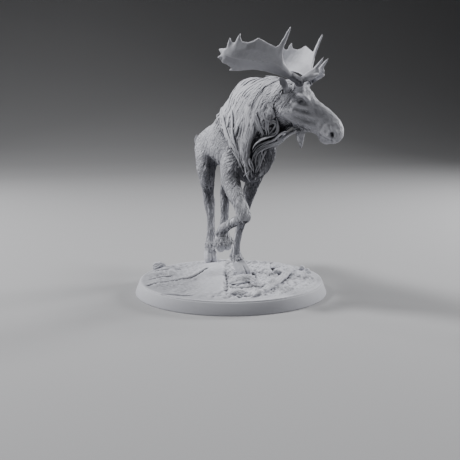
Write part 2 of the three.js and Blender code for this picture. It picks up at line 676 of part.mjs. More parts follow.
// ---- Mane ----

const torso = join([trunk(), neck(), ...bodyMasses()]);
const bothSides = new THREE.MeshBasicMaterial({ side: THREE.DoubleSide });
const torsoMesh = new THREE.Mesh(geometryOf(torso), bothSides);

// Where the torso's right (-1) or left (1) flank lies at a given y and height, lifted by `lift`.
function onFlank(hand, y, h, lift) {
  const from = new THREE.Vector3(spineX(y) + 20 * hand, y, above(h));
  const hits = new THREE.Raycaster(from, new THREE.Vector3(-hand, 0, 0)).intersectObject(torsoMesh);
  const x = hits.length ? hits[0].point.x : spineX(y);
  return [x + hand * lift, y, above(h)];
}

// The mane's rear hem on one flank, as { y, h }, from the withers down to the breast.
const maneHem = [
  { y: 1.0, h: 43.0 },
  { y: -4.0, h: 41.6 },
  { y: -9.0, h: 39.6 },
  { y: -13.0, h: 36.6 },
  { y: -15.0, h: 33.0 },
  { y: -16.6, h: 30.0 },
];

// Overlapping locks that hug the flank, and run down and back to points below the hem.
function maneLocks(hand) {
  const hem = smoothThrough(maneHem.map(({ y, h }) => new THREE.Vector3(0, y, h)));
  const locks = [];
  for (let i = 0; i < maneLockCount; i++) {
    const t = (i + 0.5) / maneLockCount;
    const { y, z: h } = hem.getPoint(t);
    const length = 6.0 + 5.0 * t + 0.8 * Math.sin(5 * i);
    const back = 2.6 * (1 - t);
    const girth = 2.3 + 0.2 * Math.sin(7 * i);
    const station = (share, lift, wide, deep) => ({
      at: onFlank(hand, y - 1.4 + back * share, h + length * (0.7 - share), lift),
      wide,
      deep,
    });
    const stations = [
      station(0, -0.6, girth * 0.6, 0.4),
      station(0.35, -0.1, girth, 0.55),
      station(0.7, 0.1, girth * 0.8, 0.5),
      station(1, 0.1, 0.16, 0.16),
    ];
    locks.push(limb(stations, { side: [0, 1, 0], sides: 6, rings: 4 }));
  }
  return locks;
}

// Longer locks that hang free below the breast.
function bibLocks() {
  const locks = [];
  for (let i = 0; i < bibLockCount; i++) {
    const share = i / (bibLockCount - 1);
    const x = -2.2 + 4.2 * share;
    const y = -17.6 - 1.4 * Math.sin(Math.PI * share);
    const tip = 27.2 + 2.6 * Math.abs(share - 0.4) + 0.5 * Math.sin(9 * i);
    const stations = [
      { at: [x, y + 0.8, above(34.0)], wide: 0.7, deep: 0.7 },
      { at: [x, y, above(31.6)], wide: 0.85, deep: 0.7 },
      { at: [x + 0.2, y + 0.1, above((31.6 + tip) / 2)], wide: 0.55, deep: 0.45 },
      { at: [x, y + 0.6, above(tip)], wide: 0.14, deep: 0.14 },
    ];
    locks.push(limb(stations, { sides: 5, rings: 4 }));
  }
  return locks;
}

// The fringed fold of skin from the throat down to the breast.
function throatFold() {
  const stations = [
    { at: onHead(5.8, -6.2, 0), wide: 0.5, deep: 0.8 },
    { at: [4.9, -27.2, above(42.2)], wide: 0.7, deep: 1.5 },
    { at: [3.8, -24.5, above(40.7)], wide: 0.8, deep: 2.1 },
    { at: [2.9, -21.5, above(39.5)], wide: 0.9, deep: 2.3 },
    { at: [2.0, -19.2, above(38.0)], wide: 1.1, deep: 2.3 },
    { at: [1.6, -17.4, above(36.0)], wide: 0.8, deep: 1.4 },
  ];
  return limb(stations, { sides: 8, rings: 9 });
}

// ---- One whole casting, then parted with thin cuts ----

const flesh = [
  torso,
  ...Object.values(legs).flatMap(leg),
  tail(),
  skull(),
  ...faceMasses(),
  ear(1),
  ear(-1),
  bell(),
  throatFold(),
  ...maneLocks(-1),
  ...maneLocks(1),
  ...bibLocks(),
];
const eyes = { eye_right: onHead(5.7, -0.95, 2.5), eye_left: onHead(5.7, -0.95, -2.5) };
const sockets = Object.values(eyes).map((at) => ball(at, Array(3).fill(eyeRadius + 0.05)));

const ground = groundSolid();
const base = baseSolid();
const groundClearance = join([ground, ground.translate([0, 0, groundGap]), base]);
const wholeMoose = join([...flesh, ...antler(1), ...antler(-1)]);
const figure = wholeMoose.subtract(join(sockets)).subtract(groundClearance);

// The direction square to the plane that halves the angle at a joint.
function bend(before, joint, after) {
  const middle = new THREE.Vector3(...joint);
  const into = middle.clone().sub(new THREE.Vector3(...before)).normalize();
  const out = new THREE.Vector3(...after).sub(middle).normalize();
  return into.add(out).toArray();
}

const legCuts = Object.values(legs).flatMap(({ bones, shank, foot, bodyCut }) => [
  thinCut(bodyCut.at, [0, 0, 1], bodyCut.radius),
  thinCut(shank[1].at, bend(bones.at(-2).at, shank[1].at, shank[3].at), 3.0),
  thinCut(foot.fetlock, bend(shank[3].at, foot.fetlock, foot.toe), 2.3),
]);
const antlerCuts = [1, -1].flatMap((hand) => [
  thinCut(onHead(3.1, 1.9, 3.5 * hand), headWay(0, 0.55, 0.8 * hand), 1.9),
  thinCut(onHead(3.1, 3.1, 3.8 * hand), headWay(0.2, 0.9, -0.4 * hand), 1.25),
  thinCut(onHead(1.2, 2.5, 8.2 * hand), headWay(-0.5, 0.1, 0.85 * hand), 2.6),
]);
const cuts = [
  thinCut([1.5, -14.0, above(43.0)], [0.0, -0.86, 0.5], 16),
  thinCut([3.4, -22.6, above(42.8)], [0.5, -0.76, -0.42], 10.5),
  thinCut([1.7, 28.9, above(36.3)], [-0.4, 0.9, -0.3], 1.7),
  thinCut(onHead(8.9, -6.75, 0), headWay(-0.32, 0.95, 0), 2.4),
  thinCut(onHead(1.65, -1.25, 3.5), headWay(-0.4, 0.4, 0.8), 1.5),
  thinCut(onHead(1.4, -1.0, -3.9), headWay(-0.4, 0.4, -0.8), 1.7),
  ...legCuts,
  ...antlerCuts,
];
const castings = figure.subtract(join(cuts)).decompose();

// A point inside each named piece.
const anchors = {
  trunk: [spineX(5), 5, above(37)],
  neck: [2.8, -20, above(45)],
  head: onHead(9, -2, 0),
  tail: [1.2, 30.1, above(35)],
  bell: onHead(10.4, -7.6, 0),
  ear_right: onHead(0.7, -0.3, 5.0),
  ear_left: onHead(0.7, -0.3, -5.0),
};
for (const [hand, name] of [[1, "antler_right"], [-1, "antler_left"]]) {
  anchors[name + "_beam"] = onHead(2.4, 2.35, 5.6 * hand);
  anchors[name + "_palm"] = onHead(1.0, 2.6, 8.9 * hand);
  anchors[name + "_brow"] = onHead(3.8, 5.0, 2.7 * hand);
}
for (const [name, { bones, shank, foot }] of Object.entries(legs)) {
  anchors[name + "_upper"] = bones[3].at;
  anchors[name + "_lower"] = shank[3].at;
  const toe = new THREE.Vector3(...foot.toe);
  anchors[name + "_hoof"] = new THREE.Vector3(...foot.fetlock).lerp(toe, 0.35).toArray();
}

const moose = new THREE.Group();

function addNode(name, manifold, at = [0, 0, 0]) {
  const geometry = geometryOf(manifold);
  geometry.translate(-at[0], -at[1], -at[2]);
  const mesh = new THREE.Mesh(geometry, resin.clone());
  mesh.name = name;
  mesh.position.set(...at);
  moose.add(mesh);
}

const crumbVolume = 0.3; // smaller cut-off crumbs are left out
const holds = (piece, at) => !piece.intersect(ball(at, [0.1, 0.1, 0.1], 6)).isEmpty();
for (const piece of castings) {
  const names = Object.keys(anchors).filter((name) => holds(piece, anchors[name]));
  if (names.length === 1) {
    addNode(names[0], piece, anchors[names[0]]);
    delete anchors[names[0]];
  } else if (piece.volume() > crumbVolume || names.length > 1) {
    const { min, max } = piece.boundingBox();
    throw new Error(`a piece of ${piece.volume()} mm3 at ${min} to ${max} holds ${names}`);
  }
}
if (Object.keys(anchors).length) throw new Error("no piece holds " + Object.keys(anchors));

for (const [name, at] of Object.entries(eyes)) {
  addNode(name, ball(at, Array(3).fill(eyeRadius)), at);
}
addNode("base", base);
addNode("ground", ground);
for (const [name, loose] of Object.entries(looseGround())) {
  addNode(name, loose.subtract(groundClearance));
}

export default moose;
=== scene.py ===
import math

import bpy
import numpy as np
from mathutils import Matrix, Vector, noise
from mathutils.bvhtree import BVHTree


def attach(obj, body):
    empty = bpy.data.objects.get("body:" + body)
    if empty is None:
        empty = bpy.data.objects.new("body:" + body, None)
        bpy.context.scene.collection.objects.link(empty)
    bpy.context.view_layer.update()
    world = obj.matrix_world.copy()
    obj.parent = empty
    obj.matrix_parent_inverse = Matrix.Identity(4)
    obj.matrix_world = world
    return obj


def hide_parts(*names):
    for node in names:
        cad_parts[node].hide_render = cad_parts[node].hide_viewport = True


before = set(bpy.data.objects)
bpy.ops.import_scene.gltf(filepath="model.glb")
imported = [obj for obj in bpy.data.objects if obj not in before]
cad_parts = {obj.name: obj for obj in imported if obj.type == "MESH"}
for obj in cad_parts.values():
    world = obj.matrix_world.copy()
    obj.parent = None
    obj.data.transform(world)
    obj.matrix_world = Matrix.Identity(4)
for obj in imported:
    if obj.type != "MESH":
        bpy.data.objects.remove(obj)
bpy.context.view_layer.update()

# The figure is shaped in millimetres, and each finished mesh is scaled to metres.
mm = 0.001
bpy.ops.object.select_all(action="DESELECT")

# the figure's own measures, in mm, and how its head is turned
baseHeight = 3.0
figureSink = 0.76
figureScale = 1.013
headPitch = math.radians(40.7)
headYaw = math.radians(50)


def above(h):
    # z in mm from a height on the figure's own scale
    return baseHeight - figureSink + figureScale * h


poll = np.array((4.3, -26.0, above(51.4)))
headTurn = np.array(Matrix.Rotation(headYaw, 3, "Z") @ Matrix.Rotation(headPitch, 3, "X")) * figureScale
faceForward = headTurn @ np.array((0, -1, 0)) / figureScale


def onHead(forward, up, right):
    # a place given from the poll, along the turned head
    return poll + headTurn @ np.array((-right, -forward, up))


def headPlace(points):
    # forward, up and right of the poll, for an array of points
    local = (points - poll) @ np.linalg.inv(headTurn).T
    return -local[:, 1], local[:, 2], -local[:, 0]


def heightOf(points):
    # the other way: the figure's own height of each point
    return (points[:, 2] - above(0)) / figureScale


def spineX(y):
    # the middle line of the body and the neck
    return np.interp(y, (-26.6, -23.2, -19.2, -14.5, -8, 30), (5.7, 3.9, 2.3, 1.4, 1.5, 3.0))


def ramp(start, end, value):
    # from 0 at start to 1 at end, softly
    t = np.clip((value - start) / (end - start), 0, 1)
    return t * t * (3 - 2 * t)


def mix(first, second, share):
    # first where share is 0, second where it is 1
    share = np.asarray(share)[..., None] if np.ndim(first) > np.ndim(share) else share
    return first + (second - first) * share


def unit(vectors):
    return vectors / np.maximum(np.linalg.norm(vectors, axis=-1, keepdims=True), 1e-9)


def noiseAt(points, scale, seed=0.0):
    # smooth noise of about -1 to 1 at each point, with features about `scale` mm across
    places = points / scale + seed
    return np.array([noise.noise(Vector(place)) for place in places])


# mesh helpers
def selectOnly(piece):
    bpy.ops.object.select_all(action="DESELECT")
    piece.select_set(True)
    bpy.context.view_layer.objects.active = piece


def applied(piece, kind, **settings):
    selectOnly(piece)
    modifier = piece.modifiers.new(kind, kind)
    for key, value in settings.items():
        setattr(modifier, key, value)
    bpy.ops.object.modifier_apply(modifier=modifier.name)


def meltedCopy(name, nodes, grow, voxel, balls=()):
    # CAD solids and extra balls joined into one closed mesh, in mm: grown past their thin cuts,
    # then remeshed
    copies = []
    for node in nodes:
        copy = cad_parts[node].copy()
        copy.data = copy.data.copy()
        copy.parent = None
        for key in list(copy.keys()):
            del copy[key]
        bpy.context.scene.collection.objects.link(copy)
        copies.append(copy)
    bpy.ops.object.select_all(action="DESELECT")
    for copy in copies:
        copy.select_set(True)
    bpy.context.view_layer.objects.active = copies[0]
    if len(copies) > 1:
        bpy.ops.object.join()
    piece = bpy.context.view_layer.objects.active
    piece.name = name
    piece.data.name = name
    piece.data.transform(Matrix.Scale(1 / mm, 4))
    bpy.ops.object.mode_set(mode="EDIT")
    bpy.ops.mesh.select_all(action="SELECT")
    bpy.ops.mesh.remove_doubles(threshold=0.002)
    bpy.ops.object.mode_set(mode="OBJECT")
    for layer in list(piece.data.uv_layers):
        piece.data.uv_layers.remove(layer)
    piece.data.materials.clear()
    if grow:
        applied(piece, "DISPLACE", strength=grow, mid_level=0.0)
    for x, y, h, radius in balls:
        bpy.ops.object.select_all(action="DESELECT")
        bpy.ops.mesh.primitive_ico_sphere_add(subdivisions=3, radius=radius, location=(x, y, above(h)))
        piece.select_set(True)
        bpy.context.view_layer.objects.active = piece
        bpy.ops.object.join()
    applied(piece, "REMESH", mode="VOXEL", voxel_size=voxel)
    return piece


def numbersOf(items, key, width=1):
    # whole numbers that the edges, corners or faces of a mesh hold, width to each
    values = np.empty(len(items) * width, np.int32)
    items.foreach_get(key, values)
    return values


def placesOf(items, key):
    # one place or way in space for each point or face
    values = np.empty(len(items) * 3, np.float32)
    items.foreach_get(key, values)
    return values.reshape(-1, 3).astype(float)


def pointsOf(piece):
    return placesOf(piece.data.vertices, "co")


def normalsOf(piece):
    return placesOf(piece.data.vertex_normals, "vector")


def cellsOf(piece):
    return [tuple(face.vertices) for face in piece.data.polygons]


def setPoints(piece, points):
    piece.data.vertices.foreach_set("co", points.astype(np.float32).ravel())
    piece.data.update()


class Neighbours:
    # the mean of each point's neighbours along the mesh's edges
    def __init__(self, piece):
        edges = numbersOf(piece.data.edges, "vertices", 2).reshape(-1, 2)
        self.count = len(piece.data.vertices)
        self.ends = edges.T.ravel()
        self.others = edges[:, ::-1].T.ravel()
        self.degree = np.maximum(np.bincount(self.ends, minlength=self.count), 1)

    def mean(self, values):
        if values.ndim == 1:
            return np.bincount(self.ends, weights=values[self.others], minlength=self.count) / self.degree
        return np.stack([self.mean(values[:, axis]) for axis in range(values.shape[1])], axis=1)


# How far one pass of smoothing moves a point towards its neighbours' mean.
smoothPull = 0.6


def smoothed(piece, steps, weight=1.0, keep=0.0):
    # keep pushes each point back out after a pass, so that less volume goes
    points = pointsOf(piece)
    around = Neighbours(piece)
    share = np.broadcast_to(np.asarray(weight, float), (len(points),))[:, None]
    for step in range(steps):
        for pull in (smoothPull, -keep) if keep else (smoothPull,):
            points = points + share * pull * (around.mean(points) - points)
    setPoints(piece, points)


def hollows(piece, spread=3, strength=5.0):
    # 0 on open ground up to 1 in creases and pits, from how far each point lies below its surroundings
    points = pointsOf(piece)
    around = Neighbours(piece)
    means = points
    for step in range(spread):
        means = around.mean(means)
    depth = ((means - points) * normalsOf(piece)).sum(axis=1)
    return np.clip(strength * around.mean(depth), -0.35, 1)


def searchTree(*solids):
    # one search tree over several (points, faces) pairs
    points = []
    faces = []
    for places, cells in solids:
        faces.extend([tuple(int(k) + len(points) for k in cell) for cell in cells])
        points.extend([tuple(place) for place in places])
    return BVHTree.FromPolygons(points, faces)


# How far shade rays look, where they start over the surface, and how much less a far form shuts.
shadeRays = {"goldenTurn": 2.399963, "lift": 0.07, "farLoss": 0.6, "near": 3.2, "sky": 45, "count": 9}


def shadeAt(points, normals, tree, reach=shadeRays["near"], rays=shadeRays["count"]):
    # share of the open sky over each point that nearby forms shut out
    rng = np.random.default_rng(5)
    turns = np.arange(rays) * shadeRays["goldenTurn"]
    slopes = np.sqrt((np.arange(rays) + 0.5) / rays)
    rises = np.sqrt(1 - slopes ** 2)
    # two ways across each normal, for the rays to lean out along
    first = unit(np.cross(normals, np.array((0.31, 0.57, 0.76))))
    second = np.cross(normals, first)
    spins = rng.uniform(0, 2 * math.pi, len(points))
    starts = points + normals * shadeRays["lift"]
    shut = np.zeros(len(points))
    for turn, slope, rise in zip(turns, slopes, rises):
        a = slope * np.cos(turn + spins)
        b = slope * np.sin(turn + spins)
        ways = first * a[:, None] + second * b[:, None] + normals * rise
        for i in range(len(points)):
            gap = tree.ray_cast(Vector(starts[i]), Vector(ways[i]), reach)[3]
            if gap is not None:
                shut[i] += 1 - shadeRays["farLoss"] * gap / reach
    return shut / rays


def skyShadeAt(points, normals, tree):
    # how much of the sky overhead is shut out, far above the point too
    upwards = unit(0.45 * normals + np.array((0, 0, 1.0)))
    return shadeAt(points, upwards, tree, shadeRays["sky"])


def addAttribute(piece, name, values):
    kind, key = ("FLOAT", "value") if values.ndim == 1 else ("FLOAT_VECTOR", "vector")
    attribute = piece.data.attributes.new(name, kind, "POINT")
    attribute.data.foreach_set(key, values.astype(np.float32).ravel())


def cornersOf(piece):
    # the point at each corner of each face
    return numbersOf(piece.data.loops, "vertex_index")


def addMap(piece, places):
    # the OFBake map, from one place on it for each corner
    layer = piece.data.uv_layers.new(name="OFBake")
    layer.data.foreach_set("uv", places.astype(np.float32).ravel())


def finishPiece(piece, nodes, finish):
    # to metres, smooth, and into the frame
    piece.data.transform(Matrix.Scale(mm, 4))
    piece.data.polygons.foreach_set("use_smooth", [True] * len(piece.data.polygons))
    piece.data.materials.clear()
    piece.data.materials.append(finish)
    if nodes:
        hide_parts(*nodes)
    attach(piece, "root")
    triangles = sum(len(face.vertices) - 2 for face in piece.data.polygons)
    print(piece.name, triangles, "triangles")


class Link:
    # a shader socket that takes part in sums
    def __init__(self, tree, socket):
        self.tree = tree
        self.socket = socket

    def sum(self, operation, first, second):
        return self.tree.node("ShaderNodeMath", {"operation": operation}, {0: first, 1: second})

    def __add__(self, other):
        return self.sum("ADD", self, other)

    def __sub__(self, other):
        return self.sum("SUBTRACT", self, other)

    def __rsub__(self, other):
        return self.sum("SUBTRACT", other, self)

    def __mul__(self, other):
        return self.sum("MULTIPLY", self, other)

    __radd__ = __add__
    __rmul__ = __mul__


class Finish:
    def __init__(self, name):
        self.material = bpy.data.materials.new(name)
        self.material.use_nodes = True
        self.nodes = self.material.node_tree.nodes
        self.nodes.clear()

    def node(self, kind, settings=None, inputs=None, output=0):
        made = self.nodes.new(kind)
        for key, value in (settings or {}).items():
            setattr(made, key, value)
        for key, value in (inputs or {}).items():
            if isinstance(value, Link):
                self.material.node_tree.links.new(value.socket, made.inputs[key])
            else:
                made.inputs[key].default_value = value
        return Link(self, made.outputs[output]) if made.outputs else None

    def attribute(self, name, output):
        return self.node("ShaderNodeAttribute", {"attribute_name": name}, output=output)

    def clouds(self, place, scale, detail):
        return self.node("ShaderNodeTexNoise", None, {"Vector": place, "Scale": scale, "Detail": detail})


resin = {
    "open": (0.600, 0.605, 0.650, 1),  # the resin's own tone where no painted shade falls; edges that stand clear are lightened towards it as painted highlight
    "deep": (0.050, 0.051, 0.064, 1),  # painted shadow tone, between locks and in creases
    "plain": 0.15,  # share of the painted shadow tone where nothing shades the surface
    "roughness": 0.60,
    "hollowRoughness": 0.1,
    "shine": 0.35,
    "mottleScale": 260.0,
    "mottleTone": 0.22,
    "mottleRoughness": 0.12,
    "grainScale": 5200.0,
    "grainTone": 0.08,
    "stoneScale": 1500.0,
    "pitScale": 900.0,
    "relief": 0.00012,  # height of the grain, the strands and the roughness, in m
}


def resinFinish(name, grain=0.5, strands=0.0, strandScale=(5.0, 5.0, 0.7), rough=0.0, mottle=1.0):
    # matt cast resin: faint mottling, painted shade in its hollows, fine grain, hair strands or rock
    # roughness
    finish = Finish(name)
    place = finish.node("ShaderNodeTexCoord", output=3)  # Object coordinates
    # painted shade: darkens the colour in hollows and where nearby forms shut out the light; below 0 it
    # lightens edges towards the open tone
    paintedShade = finish.attribute("paintedShade", 2)
    patches = finish.clouds(place, resin["mottleScale"], 3.0)
    grains = finish.clouds(place, resin["grainScale"], 2.0)
    shade = paintedShade + (patches - 0.5) * (resin["mottleTone"] * mottle) + (grains - 0.5) * resin["grainTone"]
    # how far the colour goes towards the painted shadow tone
    depth = resin["plain"] + (1 - resin["plain"]) * shade
    tones = {0: depth, 6: resin["open"], 7: resin["deep"]}
    tone = finish.node("ShaderNodeMix", {"data_type": "RGBA"}, tones, output=2)
    roughness = resin["roughness"] + (patches - 0.5) * resin["mottleRoughness"]
    roughness = roughness + paintedShade * resin["hollowRoughness"]
    height = grains * (0.25 * grain)
    if strands:
        combing = {0: finish.attribute("strand", 1), 1: strandScale}
        combed = finish.node("ShaderNodeVectorMath", {"operation": "MULTIPLY"}, combing)
        height = height + finish.clouds(combed, 1.0, 3.0) * strands
    if rough:
        stony = finish.clouds(place, resin["stoneScale"], 6.0)
        pits = finish.node("ShaderNodeTexVoronoi", None, {"Vector": place, "Scale": resin["pitScale"]})
        height = height + stony * rough + pits * (0.35 * rough)
    bump = {"Strength": 1.0, "Distance": resin["relief"], "Height": height}
    normal = finish.node("ShaderNodeBump", None, bump)
    body = {
        "Base Color": tone, "Roughness": roughness, "Normal": normal, "Specular IOR Level": resin["shine"],
    }
    shader = finish.node("ShaderNodeBsdfPrincipled", None, body)
    finish.node("ShaderNodeOutputMaterial", None, {"Surface": shader})
    return finish.material


coatFinish = resinFinish("resin_coat", grain=0.3, strands=1.1, strandScale=(4.2, 4.2, 0.55))
maneFinish = resinFinish("resin_mane", grain=0.15, strands=0.7, strandScale=(6.0, 1.0, 0.35))
smoothFinish = resinFinish("resin_smooth", grain=0.35)
groundFinish = resinFinish("resin_ground", grain=0.6, rough=1.3)
rimFinish = resinFinish("resin_rim", grain=0.25, mottle=0.4)
print("materials done")

# The skin: the flesh nodes melted into one, smoothed, sunk under the coat, and worked over.
# Lengths are in mm, and smoothing is a number of passes.
skinSettings = {
    "voxel": 0.282,
    "grow": 0.07,
    "firstSmoothing": 9,
    "bodySmoothing": 60,
    "headSmoothing": 16,
    "legSmoothing": 16,
    "inset": 0.16,  # of the skin inside the solids, under the body coat
    "legInset": 0.05,
    "faceInset": 0.02,
    "maneInset": (0.30, 0.62),  # at the crest and at the hem
    "throatDepth": 1.5,  # of the fold under the mane's front edge
    "throatWidth": 1.35,
    "fur": 0.07,  # height of the combed relief on the skin
    "softFolds": 0.09,  # height of the broader folds under it
    "faceFolds": 0.13,  # height of those on the face
    "faceGrain": 0.035,
}
legNames = ("fore_right", "fore_left", "hind_right", "hind_left")
fleshNodes = ["trunk", "neck", "head", "tail", "bell", "ear_right", "ear_left"]
fleshNodes += [f"{leg}_{part}" for leg in legNames for part in ("upper", "lower")]

# The mane's hem, from the withers down the right flank to its lowest tip (share 0.64), then up
# its front edge to the throat: share, x, y, h.
maneHem = np.array((
    (0.00, -3.8, 0.5, 41.6), (0.14, -4.3, -6.0, 39.6), (0.28, -4.6, -11.2, 37.2),
    (0.40, -4.4, -13.8, 34.4), (0.50, -3.5, -15.6, 31.8), (0.58, -2.4, -16.8, 29.6),
    (0.64, -1.6, -17.6, 28.6), (0.72, -2.2, -18.4, 33.5), (0.80, -1.9, -19.0, 37.0),
    (0.87, -0.8, -19.9, 39.4), (0.94, 0.9, -20.8, 38.9), (1.00, 2.4, -24.0, 42.0),
))
# The crest that its locks fall from, from the withers up to the poll.
maneCrest = np.array((
    (0.00, 1.9, 3.0, 46.0), (0.17, 1.6, -3.0, 49.0), (0.33, 1.5, -9.0, 51.3), (0.50, 1.5, -14.5, 52.0),
    (0.67, 2.3, -18.8, 51.8), (0.83, 3.4, -22.0, 51.2), (1.00, 4.0, -23.6, 50.4),
))
# Where along the crest each share of the hem's locks starts, and the bend they fall through.
maneStarts = np.array(((0.00, 0.17), (0.14, 0.45), (0.28, 0.70), (0.40, 0.85), (0.64, 0.96), (1.00, 1.00)))
maneBend = np.array((
    (0.00, -4.7, 0.2, 47.7), (0.14, -3.6, -3.5, 46.3), (0.28, -6.2, -5.2, 44.2), (0.40, -6.1, -9.9, 42.8),
    (0.64, -5.7, -14.4, 42.6), (0.80, -3.9, -21.1, 44.1), (1.00, 0.0, -26.2, 46.8),
))
# The deep fold under the mane's front edge, from the throat to the breast: x, y, h.
throatHollow = (
    (4.0, -26.9, 41.0), (3.1, -24.8, 40.4), (2.2, -22.3, 39.7), (0.9, -20.6, 38.8), (-0.4, -19.9, 38.5),
    (-1.1, -19.4, 37.3), (-1.5, -19.0, 36.0), (-1.7, -19.1, 34.2), (-1.5, -19.2, 32.2), (-1.3, -19.2, 30.4),
)


def along(track, share):
    # a point on a track of [share, x, y, h], as x, y, z
    x, y, h = (np.interp(share, track[:, 0], track[:, axis]) for axis in (1, 2, 3))
    return np.stack((x, y, above(h)), axis=-1)


def mirrored(points):
    # over to the left side, where the mane ends higher and keeps close to the breast
    flipped = points.copy()
    middle = spineX(points[..., 1])
    under = np.maximum(above(39.5) - points[..., 2], 0)
    flipped[..., 0] = middle + (middle - points[..., 0]) * (1 - 0.3 * ramp(0, 6, under))
    flipped[..., 2] = points[..., 2] + 0.72 * under
    return flipped


def maneShare(points):
    # 1 well under the mane, 0 outside it; its rear edge is the hem's run down the flank
    forward = headPlace(points)[0]
    flank = maneHem[6::-1]
    hemY = np.interp(points[:, 2], above(flank[:, 3]), flank[:, 2])
    inFront = ramp(0.5, -1.5, points[:, 1] - hemY)
    return inFront * ramp(above(28.0), above(30.0), points[:, 2]) * ramp(2.2, 0.5, forward)


def trackGap(points, track):
    # distance to a track of [x, y, h] in space
    places = np.array([(x, y, above(h)) for x, y, h in track])
    best = np.full(len(points), 1e9)
    for start, end in zip(places[:-1], places[1:]):
        run = end - start
        t = np.clip(((points - start) @ run) / (run @ run), 0, 1)
        best = np.minimum(best, np.linalg.norm(points - start - t[:, None] * run, axis=1))
    return best


def nearPath(a, b, path):
    # distance in the (a, b) plane to a polyline, for arrays a and b, and the share along it
    best = np.full(len(a), 1e9)
    share = np.zeros(len(a))
    for i in range(len(path) - 1):
        (a0, b0), (a1, b1) = path[i], path[i + 1]
        da, db = a1 - a0, b1 - b0
        t = np.clip(((a - a0) * da + (b - b0) * db) / (da * da + db * db), 0, 1)
        gap = np.hypot(a - a0 - t * da, b - b0 - t * db)
        closer = gap < best
        best = np.where(closer, gap, best)
        share = np.where(closer, (i + t) / (len(path) - 1), share)
    return best, share


# Grooves (negative) and ridges on both sides of the face: height, half width, track of
# [forward, up].
faceLines = {
    "eye_rim": (-0.10, 0.18, (
        (4.9, -1.75), (4.9, -1.1), (5.45, -0.45), (6.1, -0.5), (6.8, -0.65), (7.7, -0.7),
    )),
    "brow": (0.25, 0.42, ((3.9, -0.9), (4.6, -0.2), (5.5, 0.25), (6.6, 0.2), (7.8, -0.05))),
    "brow_groove": (-0.16, 0.35, ((4.0, 0.4), (5.0, 0.9), (6.2, 1.05), (7.6, 0.7))),
    "lower_lid": (0.20, 0.26, ((5.0, -2.05), (5.7, -1.95), (6.4, -1.6), (7.1, -1.25), (7.9, -1.0))),
    "under_eye": (0.20, 0.5, ((4.2, -2.7), (5.6, -2.5), (6.9, -1.9), (8.3, -1.3), (9.6, -0.8))),
    "under_groove": (-0.15, 0.42, ((5.2, -3.25), (6.2, -2.95), (7.2, -2.35), (8.3, -1.75), (9.2, -1.3))),
    "cheek_bone": (0.26, 0.6, ((5.0, -4.3), (6.6, -3.75), (8.2, -2.85), (9.8, -2.0), (11.4, -1.2))),
    "cheek_groove": (-0.17, 0.6, ((6.0, -5.0), (7.1, -4.2), (8.6, -3.5), (10.1, -2.75), (11.8, -1.8))),
    "jaw_ridge": (0.20, 0.5, ((5.4, -6.5), (6.9, -5.8), (8.4, -5.0), (10.0, -4.0), (11.8, -2.9))),
    "jaw_groove": (-0.16, 0.45, ((7.8, -6.8), (9.2, -6.0), (10.5, -5.1), (12.0, -3.9))),
    "temple_groove": (-0.22, 0.32, ((3.3, -0.4), (3.3, -1.1), (3.7, -2.1), (3.7, -3.8))),
    "mouth": (-0.14, 0.24, ((17.6, -2.9), (16.4, -3.2), (15.2, -3.5), (14.0, -3.8), (12.9, -3.9))),
    "lip_notch": (-0.15, 0.3, ((16.3, -2.8), (16.7, -3.4))),
    "front_notch": (-0.24, 0.3, ((17.2, -2.2), (17.6, -2.7))),
    "upper_lip": (0.18, 0.45, ((17.4, -2.2), (16.2, -2.5), (14.6, -2.9), (12.6, -3.2))),
    "nostril_wing": (0.12, 0.50, ((14.3, -1.2), (15.2, -0.9), (16.3, -1.1), (16.9, -1.9), (16.3, -2.8))),
    "nostril": (-0.95, 0.44, ((15.6, -1.7), (15.9, -2.1))),
    "nostril_crease": (-0.14, 0.24, ((13.4, -0.5), (14.3, -1.0), (15.1, -1.35))),
    "muzzle_dimple": (-0.20, 0.5, ((15.9, -0.1), (16.6, -0.9))),
    "muzzle_fold": (-0.06, 0.4, ((12.4, -1.2), (12.9, -2.2), (12.6, -3.0))),
    "chin": (0.2, 0.5, ((15.6, -4.6), (14.4, -4.9))),
}
# The almond that the eyeball sits in: its middle on the head, half sizes, depth and long axis.
eyeBed = {"forward": 6.1, "up": -1.1, "length": 0.85, "width": 0.36, "depth": 0.12, "axis": (0.93, 0.37)}
# Hollows on the middle line of the face: depth, place and half length forward, half width, and
# the heights between which it comes in.
faceHollows = {
    "nose_pad": (0.15, 16.4, 1.2, 0.9, (-1.5, 0)),
    "brow_dip": (0.3, 6.5, 2.2, 0.9, (0, 1.5)),
}


def faceRelief(forward, up, right):
    out = np.abs(right)
    relief = np.zeros(len(forward))
    for height, width, path in faceLines.values():
        gap, share = nearPath(forward, up, path)
        fade = ramp(-0.02, 0.25, share) * ramp(1.02, 0.75, share) if len(path) > 2 else 1.0
        relief += height * np.exp(-((gap / width) ** 2)) * fade * ramp(0.4, 1.0, out)
    ahead, aside = forward - eyeBed["forward"], up - eyeBed["up"]
    run, rise = eyeBed["axis"]
    length = (ahead * run + aside * rise) / eyeBed["length"]
    width = (aside * run - ahead * rise) / eyeBed["width"]
    relief -= eyeBed["depth"] * np.exp(-((length ** 2 + width ** 2) ** 2)) * ramp(0.4, 1.0, out)
    for depth, middle, length, width, (low, high) in faceHollows.values():
        reach = np.hypot((forward - middle) / length, right / width)
        relief -= depth * np.exp(-(reach ** 2)) * ramp(low, high, up)
    return relief


def faceShareOf(forward, up):
    # 1 on the face, 0 behind and below it
    return ramp(-0.5, 3.0, forward) * ramp(-9.5, -8.0, up)


def legShareOf(height):
    return ramp(29.0, 23.0, height)


# The way that the coat lies on each part, as x, y, z.
coatWays = {
    "trunk": (0, 0.8, -0.6),
    "neck": (-0.25, 0.75, -0.6),
    "rump": (0, 0.25, -1.0),
    "leg": (0, 0.12, -1.0),
    "cheek": (-0.77, 0.64, -0.65),
}


